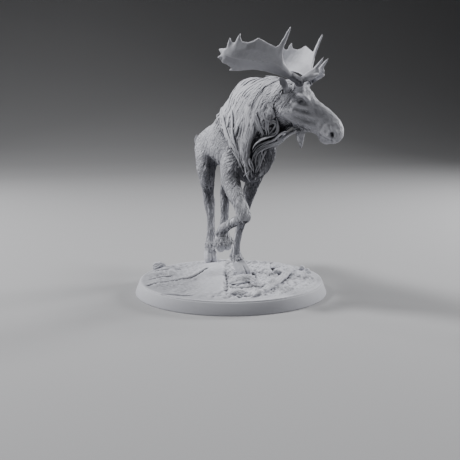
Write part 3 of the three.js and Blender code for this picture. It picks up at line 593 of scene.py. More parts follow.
def lieAt(points, normals):
    # the way that the coat lies at each point, as unit vectors along the surface
    forward, up, right = headPlace(points)
    height = heightOf(points)
    neck = ramp(-8.0, -20.0, points[:, 1]) * ramp(40.0, 46.0, height)
    rump = ramp(18.0, 28.0, points[:, 1])
    way = np.tile(coatWays["trunk"], (len(points), 1))
    for name, share in (("neck", neck), ("rump", rump), ("leg", legShareOf(height))):
        way = mix(way, np.array(coatWays[name]), share)
    cheekWay = np.tile(coatWays["cheek"], (len(points), 1))
    faceWay = mix(cheekWay, -faceForward, ramp(3.5, 7.0, forward))
    way = mix(way, faceWay, faceShareOf(forward, up))
    way = way - (way * normals).sum(axis=1)[:, None] * normals
    return unit(way)


def strandSpace(points):
    # across, across and along the coat's lie, in mm
    forward, up, right = headPlace(points)
    x, y, z = points.T
    body = np.stack((x, 0.6 * y + 0.8 * z, 0.8 * y - 0.6 * z), axis=1)
    head = np.stack((right, up, forward), axis=1)
    return mix(mix(body, points, legShareOf(heightOf(points))), head, faceShareOf(forward, up))


# Knees, hocks and the bell's blunt end: x, y, h and radius.
knobs = (
    (6.56, -27.9, 38.6, 0.86), (6.6, -27.95, 37.9, 0.72), (6.65, -27.97, 37.3, 0.60),
    (6.7, -28.0, 36.8, 0.50), (-3.4, -18.55, 20.1, 1.74), (-3.6, -17.7, 21.4, 1.72),
    (2.9, -0.7, 17.1, 1.52), (-0.1, 17.5, 19.3, 1.72), (5.9, 21.0, 20.2, 1.62),
)
# The middles of the thin parts, which would melt away under full smoothing: both ears and the
# bell's end.
thinSpots = (onHead(0.9, -0.5, 4.9), onHead(0.9, -0.5, -4.9), np.array((6.6, -27.9, above(37.2))))


def thinShareOf(points):
    share = np.zeros(len(points))
    for spot in thinSpots:
        share = np.maximum(share, ramp(3.2, 2.2, np.linalg.norm(points - spot, axis=1)))
    return share


def meltSkin():
    skin = meltedCopy("skin", fleshNodes, skinSettings["grow"], skinSettings["voxel"], knobs)
    points = pointsOf(skin)
    forward, up, right = headPlace(points)
    height = heightOf(points)
    head = ramp(-1.5, 1.5, forward) * ramp(-9.0, -7.6, up) * ramp(5.5, 4.5, np.abs(right))
    body = ramp(26.5, 29.5, height) * (1 - head) * ramp(30.5, 29.0, points[:, 1])
    thin = thinShareOf(points)
    smoothed(skin, skinSettings["firstSmoothing"], 1 - 0.6 * thin, keep=0.1)
    smoothed(skin, skinSettings["bodySmoothing"], body * (1 - thin), keep=0.25)
    smoothed(skin, skinSettings["headSmoothing"], head * (1 - thin), keep=0.3)
    smoothed(skin, skinSettings["legSmoothing"], ramp(27.5, 25.0, height), keep=0.4)
    print("skin base", len(points), "points")
    return skin


def refineHead():
    # finer cells on the head, and the whole skin in triangles
    selectOnly(skin)
    forward, up, right = headPlace(placesOf(skin.data.polygons, "center"))
    onHeadFront = (forward > 2.2) & (up > -8.5) & (np.abs(right) < 4.5)
    skin.data.polygons.foreach_set("select", onHeadFront)
    skin.data.update()
    bpy.ops.object.mode_set(mode="EDIT")
    bpy.ops.mesh.select_mode(type="FACE")
    bpy.ops.mesh.subdivide(number_cuts=1)
    bpy.ops.mesh.select_all(action="SELECT")
    bpy.ops.mesh.quads_convert_to_tris()
    bpy.ops.object.mode_set(mode="OBJECT")
    smoothed(skin, 3, keep=0.3)


# Dents in the body: centre [x, y, h], radii, depth and how much painted shade darkens them.
dents = {
    "tail": ((0.9, 28.7, 34.9), (0.9, 1.2, 1.6), 0.9, 0.3),
    "thigh": ((-1.3, 12.0, 27.4), (1.3, 2.4, 4.6), 0.5, 0.5),
    "arm": ((2.9, -10.4, 29.0), (1.5, 2.8, 4.5), 0.1, 0.5),
}
# How much painted shade darkens the skin in its hollows: in the face's folds, under the jaw, in the
# throat's fold, under the mane, on the fronts of the legs and inside the ears.
skinShades = {"fold": 0.5, "jaw": 0.5, "throat": 0.7, "mane": 0.2, "shin": 0.22, "ear": 0.12}
# where painted shade darkens the skin under the jaw: middle and half sizes on the head
underJaw = {"forward": 9.9, "up": -5.5, "length": 3.2, "width": 1.15}


def workSkin():
    # relief: the face's folds, and combed fur over the rest; then the shade painted into its hollows
    points = pointsOf(skin)
    normals = normalsOf(skin)
    forward, up, right = headPlace(points)
    face = ramp(1.2, 3.4, forward) * ramp(-9.5, -8.0, up)
    mane = maneShare(points)
    leg = ramp(27.0, 20.0, heightOf(points))
    strands = strandSpace(points)
    combed = strands * np.array((1.0, 1.0, 0.22))
    furry = 0.6 * noiseAt(combed, 0.62) + 0.4 * noiseAt(combed, 0.33, 7.0)
    softer = noiseAt(strands * np.array((1.0, 1.0, 0.45)), 1.7, 3.0)
    relief = faceRelief(forward, up, right) * face
    relief += skinSettings["fur"] * furry * (1 - 0.3 * face) * (1 - 0.5 * mane)
    relief += skinSettings["faceFolds"] * noiseAt(points, 1.2, 6.0) * face
    relief += skinSettings["faceGrain"] * noiseAt(points, 0.3, 8.0) * face
    dimmed = np.zeros(len(points))
    for (x, y, h), radii, depth, shade in dents.values():
        reach = np.linalg.norm((points - np.array((x, y, above(h)))) / np.array(radii), axis=1)
        relief -= depth * np.exp(-(reach ** 2))
        dimmed += shade * np.exp(-(reach ** 2))
    relief += skinSettings["softFolds"] * softer * (1 - 0.85 * face)
    fold = np.exp(-((trackGap(points, throatHollow) / skinSettings["throatWidth"]) ** 2))
    relief -= skinSettings["throatDepth"] * fold
    inset = mix(skinSettings["inset"], skinSettings["legInset"], leg)
    inset = mix(inset, skinSettings["faceInset"], face)
    maneInset = mix(*skinSettings["maneInset"], ramp(above(49), above(43), points[:, 2]))
    inset = mix(inset, maneInset, mane * (1 - face))
    setPoints(skin, points + normals * (relief - inset)[:, None])
    smoothed(skin, 1, 0.5)
    # painted shade in hollows, dents, folds, under the jaw and the mane, on the legs' fronts and in the ears
    paintedShade = hollows(skin, 4, 6.0) + dimmed + np.clip(-relief, 0, 1) * skinShades["fold"] * face
    ahead = (forward - underJaw["forward"]) / underJaw["length"]
    aside = (up - underJaw["up"]) / underJaw["width"]
    jaw = np.linalg.norm(np.stack((ahead, aside), axis=-1), axis=1)
    paintedShade += skinShades["jaw"] * np.exp(-(jaw ** 2)) * face
    shaded = (skinShades["throat"] * fold + skinShades["mane"] * mane) * (1 - face)
    paintedShade += shaded + skinShades["shin"] * leg * ramp(0.2, 0.9, -normals[:, 1])
    for hand in (1, -1):
        reach = np.linalg.norm(points - onHead(0.8, -0.4, 5.0 * hand), axis=1)
        paintedShade += skinShades["ear"] * ramp(2.9, 2.2, reach) * ramp(6.4, 4.4, hand * right)
    addAttribute(skin, "strand", strands)
    print("skin", len(points), "points")
    return paintedShade, face


skin = meltSkin()
refineHead()
skinPaintedShade, skinFace = workSkin()


# An unwrap of the skin: the body round its long axis, the head round its own, and each leg
# round the middle of its own heights.
def legMiddles():
    middles = []
    for leg in legNames:
        found = []
        for part in ("upper", "lower"):
            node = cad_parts[f"{leg}_{part}"]
            found.extend([tuple(v.co / mm) for v in node.data.vertices])
        found = np.array(found)
        levels = np.arange(above(4), above(40), 1.5)
        rows = []
        for level in levels:
            near = found[np.abs(found[:, 2] - level) < 2.2]
            rows.append(near.mean(axis=0)[:2] if len(near) else (np.nan, np.nan))
        rows = np.array(rows, float)
        known = ~np.isnan(rows[:, 0])
        columns = [np.interp(levels, levels[known], rows[known, axis]) for axis in (0, 1)]
        middles.append((levels, *columns))
    return middles


legLines = legMiddles()


# What the map's patches run along, in mm: the body from its front to its rear, round an axis at
# this height, the head from its back to its nose, and the legs from the sole up to the body.
mapRuns = {
    "bodyAxis": 39, "bodyFront": -29, "bodyLength": 62, "headAxis": -2.4, "headBack": -1,
    "headLength": 20, "legTop": 27.0, "sole": 2, "legLength": 28,
}


def unwrapped(points):
    # each point's part (0 body, 1 head, 2 to 5 legs), its angle round the part, and its share
    # along it
    forward, up, right = headPlace(points)
    part = np.where((forward > 0.5) & (up > -9), 1, 0)
    angle = np.arctan2(points[:, 2] - above(mapRuns["bodyAxis"]), points[:, 0] - spineX(points[:, 1]))
    share = (points[:, 1] - mapRuns["bodyFront"]) / mapRuns["bodyLength"]
    angle = np.where(part == 1, np.arctan2(up - mapRuns["headAxis"], right), angle)
    share = np.where(part == 1, (forward - mapRuns["headBack"]) / mapRuns["headLength"], share)
    low = (points[:, 2] < above(mapRuns["legTop"])) & (part == 0)
    reach = []
    for levels, middleX, middleY in legLines:
        ahead = points[:, 1] - np.interp(points[:, 2], levels, middleY)
        aside = points[:, 0] - np.interp(points[:, 2], levels, middleX)
        reach.append((np.hypot(aside, ahead), np.arctan2(ahead, aside)))
    nearest = np.argmin([gap for gap, turn in reach], axis=0)
    for i, (gap, turn) in enumerate(reach):
        mine = low & (nearest == i)
        part = np.where(mine, 2 + i, part)
        angle = np.where(mine, turn, angle)
        share = np.where(mine, (points[:, 2] - above(mapRuns["sole"])) / mapRuns["legLength"], share)
    return part, angle, np.clip(share, 0, 1)


# Where each part lies on the map: left, bottom, width, height.
mapPatches = np.array((
    (0.02, 0.02, 0.50, 0.96), (0.56, 0.54, 0.42, 0.44), (0.56, 0.02, 0.09, 0.48),
    (0.67, 0.02, 0.09, 0.48), (0.78, 0.02, 0.09, 0.48), (0.89, 0.02, 0.09, 0.48),
))


def onMap(part, angle, share):
    patch = mapPatches[part]
    across = patch[:, 0] + patch[:, 2] * (angle / (2 * math.pi) + 0.5)
    return np.stack((across, patch[:, 1] + patch[:, 3] * share), axis=1)


def mapSkin(piece):
    # each face keeps to one part, and its angles to one turn
    faces = piece.data.polygons
    owner = np.repeat(np.arange(len(faces)), numbersOf(faces, "loop_total"))
    facePart, faceAngle, faceShare = [values[owner] for values in unwrapped(placesOf(faces, "center"))]
    part, angle, share = unwrapped(pointsOf(piece)[cornersOf(piece)])
    angle = np.where(part == facePart, angle, faceAngle)
    share = np.where(part == facePart, share, faceShare)
    angle = faceAngle + (angle - faceAngle + math.pi) % (2 * math.pi) - math.pi
    addMap(piece, onMap(facePart, angle, share))


mapSkin(skin)

# the surface that hair is rooted in
skinCells = cellsOf(skin)
skinTree = searchTree((pointsOf(skin), skinCells))


def onSkin(point):
    place, normal = skinTree.find_nearest(Vector(point))[:2]
    return np.array(place), np.array(normal)


# What all locks share: the valleys between their strands, and how much painted shade darkens
# their valleys, edges, undersides and roots.
lockForm = {
    "valleyDepth": 0.5,
    "tipThickness": 0.5,
    "valleyShade": 0.75,
    "edgeShade": 0.45,
    "underShade": 0.8,
    "rootShade": 0.35,
    "patch": (0.0015, 0.003),  # width and length of each lock's own place on the OFBake map
}
# How the shade that rays find becomes the painted shade that darkens the resin's colour.
shading = {
    "hairOwn": 0.40,  # share of a lock's own shade that is kept beside it
    "hairGain": 1.3,
    "hairBase": 0.28,  # taken off, so that open locks stay bright
    "skinGain": 1.3,
    "skinBase": 0.18,
    "skyGain": 1.4,
    "skyBase": 0.22,
}


class Hair:
    # collects locks, and makes one mesh of them: each lock a closed tapering form, grooved on top
    def __init__(self, name, finish):
        self.name = name
        self.finish = finish
        self.points = []
        self.cells = []
        self.caps = []
        self.paintedShade = []
        self.gain = []
        self.strand = []
        self.places = []
        self.size = 0

    def add(
        self, paths, tops, widths, heights, outline, ridges,
        dark=0.0, depth=0.35, contrast=1.0, gain=1.0,
    ):
        # paths and tops: lock, station, xyz; widths and heights in mm; outline: share of the
        # girth at each station; dark: painted shade over the whole lock; contrast: of the painted shade
        # between its strands; gain: of the painted shade that its neighbours throw
        count, stations = paths.shape[:2]
        rng = np.random.default_rng(len(self.points) + 11)
        ways = unit(np.gradient(paths, axis=1))
        sides = unit(np.cross(ways, tops))
        tops = unit(np.cross(sides, ways))
        # the section: rounded strands with valleys between them, and one point underneath
        steps = 2 * ridges + 1
        across = np.linspace(-1, 1, steps)
        valleys = np.zeros(steps)
        valleys[2:-1:2] = 1.0
        crown = np.sqrt(np.clip(1 - across ** 2, 0, 1)) * (1 - lockForm["valleyDepth"] * valleys)
        rises = crown * rng.uniform(0.75, 1.15, (count, steps))
        rises[:, (0, -1)] = 0
        across = np.append(across, 0.0)
        rises = np.concatenate((rises, np.full((count, 1), -depth)), axis=1)
        half = (outline * widths[:, None])[..., None] * across
        thick = (np.sqrt(outline) * heights[:, None])[..., None] * rises[:, None, :]
        thick[:, -1] *= lockForm["tipThickness"]
        solid = paths[:, :, None] + half[..., None] * sides[:, :, None] + thick[..., None] * tops[:, :, None]
        self.points.append(solid.reshape(-1, 3))
        self.addCells(count, stations, steps + 1)
        # painted shade on each of its points
        share = np.linspace(0, 1, stations)
        shade = np.append(lockForm["valleyShade"] * valleys, lockForm["underShade"])
        shade[[0, -2]] = lockForm["edgeShade"]
        roots = lockForm["rootShade"] * ramp(0.3, 0.0, share)
        paintedShade = shade * np.ones((count, stations, 1)) + roots[:, None]
        paintedShade = contrast * (paintedShade + rng.uniform(-0.08, 0.08, (count, 1, 1)))
        paintedShade = paintedShade + (dark * np.ones(count))[:, None, None]
        self.paintedShade.append(paintedShade.ravel())
        self.gain.append(np.full(paintedShade.size, gain))
        # its strands' own space, shifted so that no two locks are alike
        runs = np.cumsum(np.linalg.norm(np.diff(paths, axis=1, prepend=paths[:, :1]), axis=2), axis=1)
        shift = rng.uniform(0, 90, (count, 1, 1))
        strand = np.broadcast_arrays(half + shift, shift * 1.7, runs[..., None] + shift)
        self.strand.append(np.stack(strand, axis=-1).reshape(-1, 3))
        # a small patch of the map, over the place that it is rooted in
        wide, long = lockForm["patch"]
        patch = np.stack(np.broadcast_arrays(wide * across, long * (share[:, None] - 0.5)), axis=-1)
        spots = onMap(*unwrapped(paths[:, 0]))
        self.places.append((spots[:, None, None] + patch).reshape(-1, 2))

    def addCells(self, count, stations, around):
        # quads between each lock's rings of points, and a cap at each of its ends
        k = np.arange(around)
        beside = (k + 1) % around
        roots = self.size + np.arange(count)[:, None] * stations * around
        base = (roots + np.arange(stations - 1) * around)[..., None]
        cells = np.stack((base + k, base + beside, base + around + beside, base + around + k), axis=-1)
        self.cells.append(cells.reshape(-1, 4))
        self.caps.append((roots + k)[:, ::-1])
        self.caps.append(roots + k + (stations - 1) * around)
        self.size += count * stations * around

    def finishHair(self, tree=None):
        points = np.concatenate(self.points)
        cells = np.concatenate(self.cells)
        mesh = bpy.data.meshes.new(self.name)
        caps = [cap for group in self.caps for cap in group]
        corners = np.concatenate([cells.ravel()] + caps)
        sizes = np.concatenate((np.full(len(cells), 4), [len(cap) for cap in caps]))
        starts = np.concatenate(((0,), np.cumsum(sizes)[:-1]))
        mesh.vertices.add(len(points))
        mesh.loops.add(len(corners))
        mesh.polygons.add(len(sizes))
        mesh.vertices.foreach_set("co", points.astype(np.float32).ravel())
        mesh.loops.foreach_set("vertex_index", corners.astype(np.int32))
        mesh.polygons.foreach_set("loop_start", starts.astype(np.int32))
        mesh.update(calc_edges=True)
        piece = bpy.data.objects.new(self.name, mesh)
        bpy.context.scene.collection.objects.link(piece)
        selectOnly(piece)
        bpy.ops.object.mode_set(mode="EDIT")
        bpy.ops.mesh.select_all(action="SELECT")
        bpy.ops.mesh.normals_make_consistent(inside=False)
        bpy.ops.object.mode_set(mode="OBJECT")
        paintedShade = np.concatenate(self.paintedShade)
        # painted shade from the forms around each point, over part of the lock's own
        if tree is not None:
            shade = shadeAt(pointsOf(piece), normalsOf(piece), tree)
            gain = shading["hairGain"] * np.concatenate(self.gain)
            paintedShade = shading["hairOwn"] * paintedShade + gain * shade - shading["hairBase"]
        addAttribute(piece, "paintedShade", np.clip(paintedShade, -0.2, 1))
        addAttribute(piece, "strand", np.concatenate(self.strand))
        addMap(piece, np.concatenate(self.places)[cornersOf(piece)])
        finishPiece(piece, [], self.finish)


# share of a lock's girth from its root to its tip
lockOutline = {
    "long": ((0, 0.45), (0.12, 0.9), (0.4, 1.0), (0.65, 0.85), (0.85, 0.5), (0.95, 0.22), (1, 0.04)),
    "full": ((0, 0.55), (0.15, 0.9), (0.4, 1.0), (0.7, 0.72), (0.9, 0.32), (1, 0.05)),
    "short": ((0, 0.6), (0.3, 1.0), (0.65, 0.7), (1, 0.06)),
}


def outlineOf(kind, stations):
    table = np.array(lockOutline[kind])
    return np.interp(np.linspace(0, 1, stations), table[:, 0], table[:, 1])


# The mane: rows of long locks from the crest down to the hem, on both sides. Each row's locks
# draw together into clumps that sway as one, loosely at the crest and tightly at the hem.
mane = {
    "rows": (0.0, 0.11, 0.22, 0.34, 0.46, 0.58, 0.70),
    "lengths": (0.34, 0.36, 0.38, 0.40, 0.40, 0.38, 0.32),
    "locksPerRow": (48, 48, 46, 44, 42, 38, 26),
    "widths": (0.42, 0.44, 0.48, 0.52, 0.52, 0.46, 0.36),
    "heights": (0.20, 0.22, 0.28, 0.36, 0.44, 0.50, 0.52),
    "lift": (0.10, 0.14, 0.20, 0.28, 0.34, 0.38, 0.38),
    "clumps": (20, 18, 15, 13, 11, 10, 10),
    "pull": (0.35, 0.40, 0.45, 0.50, 0.55, 0.60, 0.70),
    "wave": 0.034,  # sideways sway, as a share of the way round the mane
    "stations": 13,
}


def maneGuide(u, v, hand):
    # a place on the fall of hair u (withers to throat) at v (crest to hem, past 1 below it)
    start = along(maneCrest, np.interp(u, maneStarts[:, 0], maneStarts[:, 1]))
    middle = along(maneBend, u)
    end = along(maneHem, u)
    t = np.clip(v, 0, 1)[..., None]
    place = (1 - t) ** 2 * start + 2 * t * (1 - t) * middle + t ** 2 * end
    over = np.maximum(v - 1, 0)[..., None]
    place = place + over * np.array((0.0, 0.6, -9.0))
    return place if hand < 0 else mirrored(place)


def layOnSkin(guides, rise, hang):
    # guides down to the skin where hang is 0, free where it is 1, raised by rise; and their
    # normals
    tops = np.zeros_like(guides)
    for i in range(guides.shape[0]):
        for k in range(guides.shape[1]):
            place, normal = onSkin(guides[i, k])
            guides[i, k] = mix(place, guides[i, k], hang[i, k]) + normal * rise[i, k]
            tops[i, k] = normal
    for step in range(2):
        guides[:, 1:-1] = 0.5 * guides[:, 1:-1] + 0.25 * (guides[:, :-2] + guides[:, 2:])
        tops[:, 1:-1] = unit(0.5 * tops[:, 1:-1] + 0.25 * (tops[:, :-2] + tops[:, 2:]))
    return tops


def maneRows(hair, hand, seed):
    rng = np.random.default_rng(seed)
    for row, start in enumerate(mane["rows"]):
        count = mane["locksPerRow"][row]
        clumps = mane["clumps"][row]
        u0 = ((np.arange(count) + 0.5 + rng.uniform(-0.4, 0.4, count)) / count) ** 0.85
        if start > 0.5 and hand < 0:
            u0 = u0[(u0 < 0.30) | (u0 > 0.70) | (rng.uniform(0, 1, count) < 0.35)]
            count = len(u0)
        centres = (np.arange(clumps) + 0.5 + rng.uniform(-0.25, 0.25, clumps)) / clumps
        mine = np.argmin(np.abs(u0[:, None] - centres[None, :]), axis=1)
        length = mane["lengths"][row] * rng.uniform(0.75, 1.2, count)
        t = np.linspace(0, 1, mane["stations"])[None, :]
        v = (start + rng.uniform(-0.05, 0.05, count))[:, None] + length[:, None] * t
        drawn = mane["pull"][row] * rng.uniform(0.7, 1.1, count)[:, None] * t ** 1.6
        u = mix(u0[:, None], centres[mine][:, None], drawn)
        phase = rng.uniform(0, 2 * math.pi, clumps)[mine][:, None] + rng.normal(0, 0.35, (count, 1))
        turns = rng.uniform(0.9, 1.5, clumps)[mine][:, None]
        sway = mane["wave"] * (0.45 + 0.8 * start) * (0.3 + t)
        swing = sway * np.sin(2 * math.pi * turns * t + phase)
        stray = rng.normal(0, 0.010, (count, 1)) * t ** 3
        u = np.clip(u + swing + stray, 0, 1)
        rise = (mane["lift"][row] + rng.uniform(-0.12, 0.16, count))[:, None] + 0.15 * np.sin(math.pi * t)
        rise = rise * (0.25 + 0.75 * ramp(0.0, 0.16, u))
        hang = ramp(0.93, 1.08, v)
        guides = maneGuide(u, v, hand)
        tops = layOnSkin(guides, rise * (1 - 0.4 * hang), hang)
        widths = mane["widths"][row] * rng.uniform(0.65, 1.3, count)
        heights = mane["heights"][row] * rng.uniform(0.75, 1.25, count)
        outline = outlineOf("full", mane["stations"])
        hair.add(guides, tops, widths, heights, outline, 3, gain=0.45 + 0.9 * start)


# The falls of hair down the right side, from the rear edge to the front one, as tracks of
# [x, y, h]. Thin wavy locks are strung between each two of them.
falls = {
    "spread": 62,
    "width": 0.36,
    "height": 0.42,
    "wave": 0.24,
    "tracks": (
        (
            (-4.3, -3.2, 42.6), (-4.4, -5.7, 41.1), (-4.7, -9.3, 39.8), (-4.8, -10.7, 38.8),
            (-4.7, -11.5, 37.4), (-4.6, -13.0, 36.1), (-4.4, -13.9, 34.9), (-4.3, -14.4, 33.6),
        ),
        (
            (-4.5, -7.4, 43.0), (-4.8, -10.6, 40.6), (-4.6, -12.6, 37.9), (-4.4, -14.6, 36.2),
            (-3.9, -15.3, 34.7), (-3.3, -15.7, 32.9), (-2.8, -16.0, 31.3), (-2.0, -16.4, 29.6),
        ),
        (
            (-3.4, -11.0, 44.4), (-4.0, -13.0, 41.4), (-4.4, -14.4, 39.1), (-4.3, -15.3, 37.3),
            (-3.7, -15.4, 35.6), (-3.3, -15.9, 34.1), (-2.7, -16.4, 32.4), (-2.3, -17.4, 30.6),
        ),
        (
            (-2.9, -13.6, 44.4), (-3.2, -14.6, 41.0), (-3.4, -14.9, 38.9), (-3.4, -15.5, 37.0),
            (-3.2, -16.5, 35.1), (-2.9, -16.9, 33.6), (-2.7, -17.8, 32.1), (-2.2, -18.0, 30.6),
        ),
        (
            (-2.2, -16.8, 44.6), (-2.5, -16.8, 41.6), (-2.9, -16.6, 39.4), (-3.2, -16.6, 37.3),
            (-3.2, -17.0, 35.5), (-2.8, -17.3, 33.9), (-2.6, -17.9, 32.2), (-2.2, -18.2, 30.4),
        ),
        (
            (-1.5, -19.4, 44.0), (-1.2, -19.8, 41.0), (-1.7, -19.4, 38.7), (-2.2, -18.7, 37.3),
            (-2.6, -18.5, 35.9), (-2.6, -18.4, 34.2), (-2.4, -18.3, 32.5), (-2.1, -18.2, 30.8),
        ),
    ),
}
# Single locks: half width, height, lift, strands, and track of [x, y, h].
longLocks = {
    "rear_long": (0.26, 0.40, 0.55, 2, falls["tracks"][1]),
    "side_1": (0.26, 0.40, 0.60, 2, falls["tracks"][2]),
    "rear_curl": (0.20, 0.28, 0.30, 1, (
        (-4.5, -13.7, 35.3), (-4.2, -14.8, 34.0), (-3.9, -15.3, 33.1), (-3.6, -15.5, 32.3),
        (-3.4, -15.5, 31.5), (-3.8, -15.3, 31.1), (-4.2, -15.0, 31.6),
    )),
    "thin_line": (0.20, 0.36, 0.60, 1, (
        (-1.9, -18.8, 38.6), (-2.2, -18.0, 37.6), (-2.5, -17.5, 36.3), (-2.7, -17.6, 34.8),
        (-2.6, -17.6, 33.9), (-2.6, -17.5, 33.0),
    )),
    "front_long": (0.26, 0.40, 0.60, 2, falls["tracks"][5]),
    "tip_back": (0.20, 0.26, 0.20, 1, (
        (-2.5, -17.9, 32.6), (-2.4, -18.1, 31.1), (-2.1, -18.1, 30.5), (-3.0, -18.2, 29.8),
        (-3.6, -18.3, 29.4),
    )),
    "tip_front": (0.20, 0.26, 0.20, 1, (
        (-2.3, -18.1, 31.7), (-2.2, -18.1, 30.5), (-2.2, -17.7, 29.4), (-1.9, -17.8, 28.7),
        (-1.5, -17.9, 28.1),
    )),
    "front_1": (0.28, 0.40, 0.75, 3, (
        (-1.4, -21.2, 43.9), (-0.8, -21.4, 42.4), (0.0, -21.0, 40.5), (0.5, -20.7, 39.6),
        (0.6, -20.6, 38.4),
    )),
    "front_2": (0.28, 0.40, 0.75, 3, (
        (-0.1, -23.1, 44.4), (0.5, -23.3, 42.9), (0.8, -22.5, 41.0), (1.5, -21.3, 38.9),
    )),
    "throat_1": (0.26, 0.42, 0.75, 2, (
        (2.0, -24.6, 43.5), (2.7, -23.9, 41.6), (2.8, -23.9, 40.4), (2.5, -23.1, 39.2), (2.0, -21.9, 38.6),
        (0.9, -20.8, 38.2), (-0.5, -20.1, 37.4), (-1.6, -19.4, 36.1), (-2.0, -19.2, 34.6),
    )),
    "throat_2": (0.26, 0.40, 0.55, 2, (
        (4.0, -26.8, 40.3), (3.3, -25.1, 39.3), (2.7, -23.1, 38.3), (1.6, -21.0, 37.6), (0.2, -20.2, 36.9),
        (-0.9, -19.6, 35.9), (-1.3, -19.2, 34.5),
    )),
    "throat_3": (0.30, 0.44, 0.45, 3, (
        (6.2, -28.4, 40.8), (5.7, -27.6, 40.3), (4.8, -25.8, 39.3), (4.1, -24.2, 38.3), (3.1, -22.8, 37.5),
        (1.9, -21.2, 37.0), (0.3, -20.0, 36.3), (-1.0, -19.4, 35.3), (-1.4, -19.1, 34.3),
        (-1.6, -19.1, 33.2), (-1.3, -19.2, 32.0), (-0.8, -19.4, 30.5),
    )),
    "throat_4": (0.22, 0.34, 0.30, 1, (
        (2.8, -21.8, 37.0), (1.7, -20.8, 36.5), (0.6, -20.0, 35.8), (0.5, -19.7, 35.2), (1.1, -19.4, 34.0),
        (1.4, -19.4, 32.8),
    )),
    "fringe_1": (0.20, 0.28, 0.20, 2, (
        (0.4, -19.6, 34.9), (0.0, -19.4, 33.8), (-0.2, -19.3, 32.4), (-0.7, -19.4, 31.2),
        (-0.6, -19.4, 30.2),
    )),
    "fringe_2": (0.22, 0.28, 0.20, 2, (
        (-2.4, -18.6, 34.3), (-2.2, -19.0, 33.1), (-1.8, -19.0, 32.0), (-1.4, -19.1, 31.3),
        (-1.1, -19.2, 30.3),
    )),
    "fringe_3": (0.22, 0.28, 0.20, 2, (
        (-0.6, -19.6, 36.1), (-0.7, -19.4, 34.9), (-0.6, -19.2, 33.8), (-0.5, -19.2, 32.5),
    )),
    "fringe_4": (0.20, 0.28, 0.20, 2, (
        (1.3, -19.9, 35.6), (0.8, -19.5, 34.0), (0.5, -19.4, 32.6), (-0.2, -19.3, 31.2),
        (-0.7, -19.3, 30.1),
    )),
    "low_1": (0.22, 0.30, 0.25, 2, (
        (-3.0, -17.2, 35.1), (-2.5, -17.6, 33.7), (-2.3, -18.1, 32.4), (-1.9, -18.2, 31.2),
        (-1.3, -18.2, 29.9),
    )),
    "low_2": (0.22, 0.30, 0.25, 2, (
        (-3.3, -15.9, 34.5), (-2.9, -16.6, 33.2), (-2.7, -17.8, 32.1), (-2.3, -18.2, 30.9),
    )),
    "low_3": (0.20, 0.28, 0.25, 1, (
        (-2.2, -18.9, 33.8), (-1.7, -18.8, 32.6), (-1.5, -18.7, 31.5), (-1.6, -18.4, 30.4),
        (-1.2, -18.2, 29.2),
    )),
}


def smoothTrack(track, stations):
    # an even run of points on a soft curve through a track of [x, y, h]
    places = np.array([(x, y, above(h)) for x, y, h in track])
    run = np.concatenate(((0,), np.cumsum(np.linalg.norm(np.diff(places, axis=0), axis=1))))
    even = np.linspace(0, run[-1], stations)
    path = np.stack([np.interp(even, run, places[:, axis]) for axis in range(3)], axis=1)
    for step in range(2):
        path[1:-1] = 0.5 * path[1:-1] + 0.25 * (path[:-2] + path[2:])
    return path


def addLongLocks(hair, hand, seed):
    rng = np.random.default_rng(seed)
    stations = 17
    t = np.linspace(0, 1, stations)
    for name, (width, height, lift, strands, track) in longLocks.items():
        if hand > 0 and not name.startswith(("side", "rear")):
            continue
        middle = smoothTrack(track, stations)
        normals = np.array([onSkin(place)[1] for place in middle])
        for step in range(3):
            normals[1:-1] = unit(normals[:-2] + normals[1:-1] + normals[2:])
        sides = unit(np.cross(unit(np.gradient(middle, axis=0)), normals))
        spread = (np.arange(strands) - 0.5 * (strands - 1)) * width * 1.25
        paths = []
        for offset in spread:
            aside = offset * (1 - 0.45 * np.sin(math.pi * t) * 0.6)
            aside = aside + 0.16 * np.sin(2 * math.pi * t + rng.uniform(0, 6))
            down = lift - 0.5 * height - 0.12 * abs(offset) + rng.uniform(-0.08, 0.08)
            fall = middle + sides * aside[:, None] + normals * down
            keep = 1.0 - rng.uniform(0.0, 0.16) * (strands > 1)
            paths.append(np.stack([np.interp(t * keep, t, fall[:, axis]) for axis in range(3)], axis=1))
        paths = np.array(paths)
        tops = np.broadcast_to(normals, paths.shape).copy()
        if hand > 0:
            paths = mirrored(paths)
            tops[..., 0] *= -1
        widths = width * rng.uniform(0.8, 1.15, strands)
        heights = height * rng.uniform(0.85, 1.2, strands)
        hair.add(paths, tops, widths, heights, outlineOf("long", stations), 2, depth=0.6)


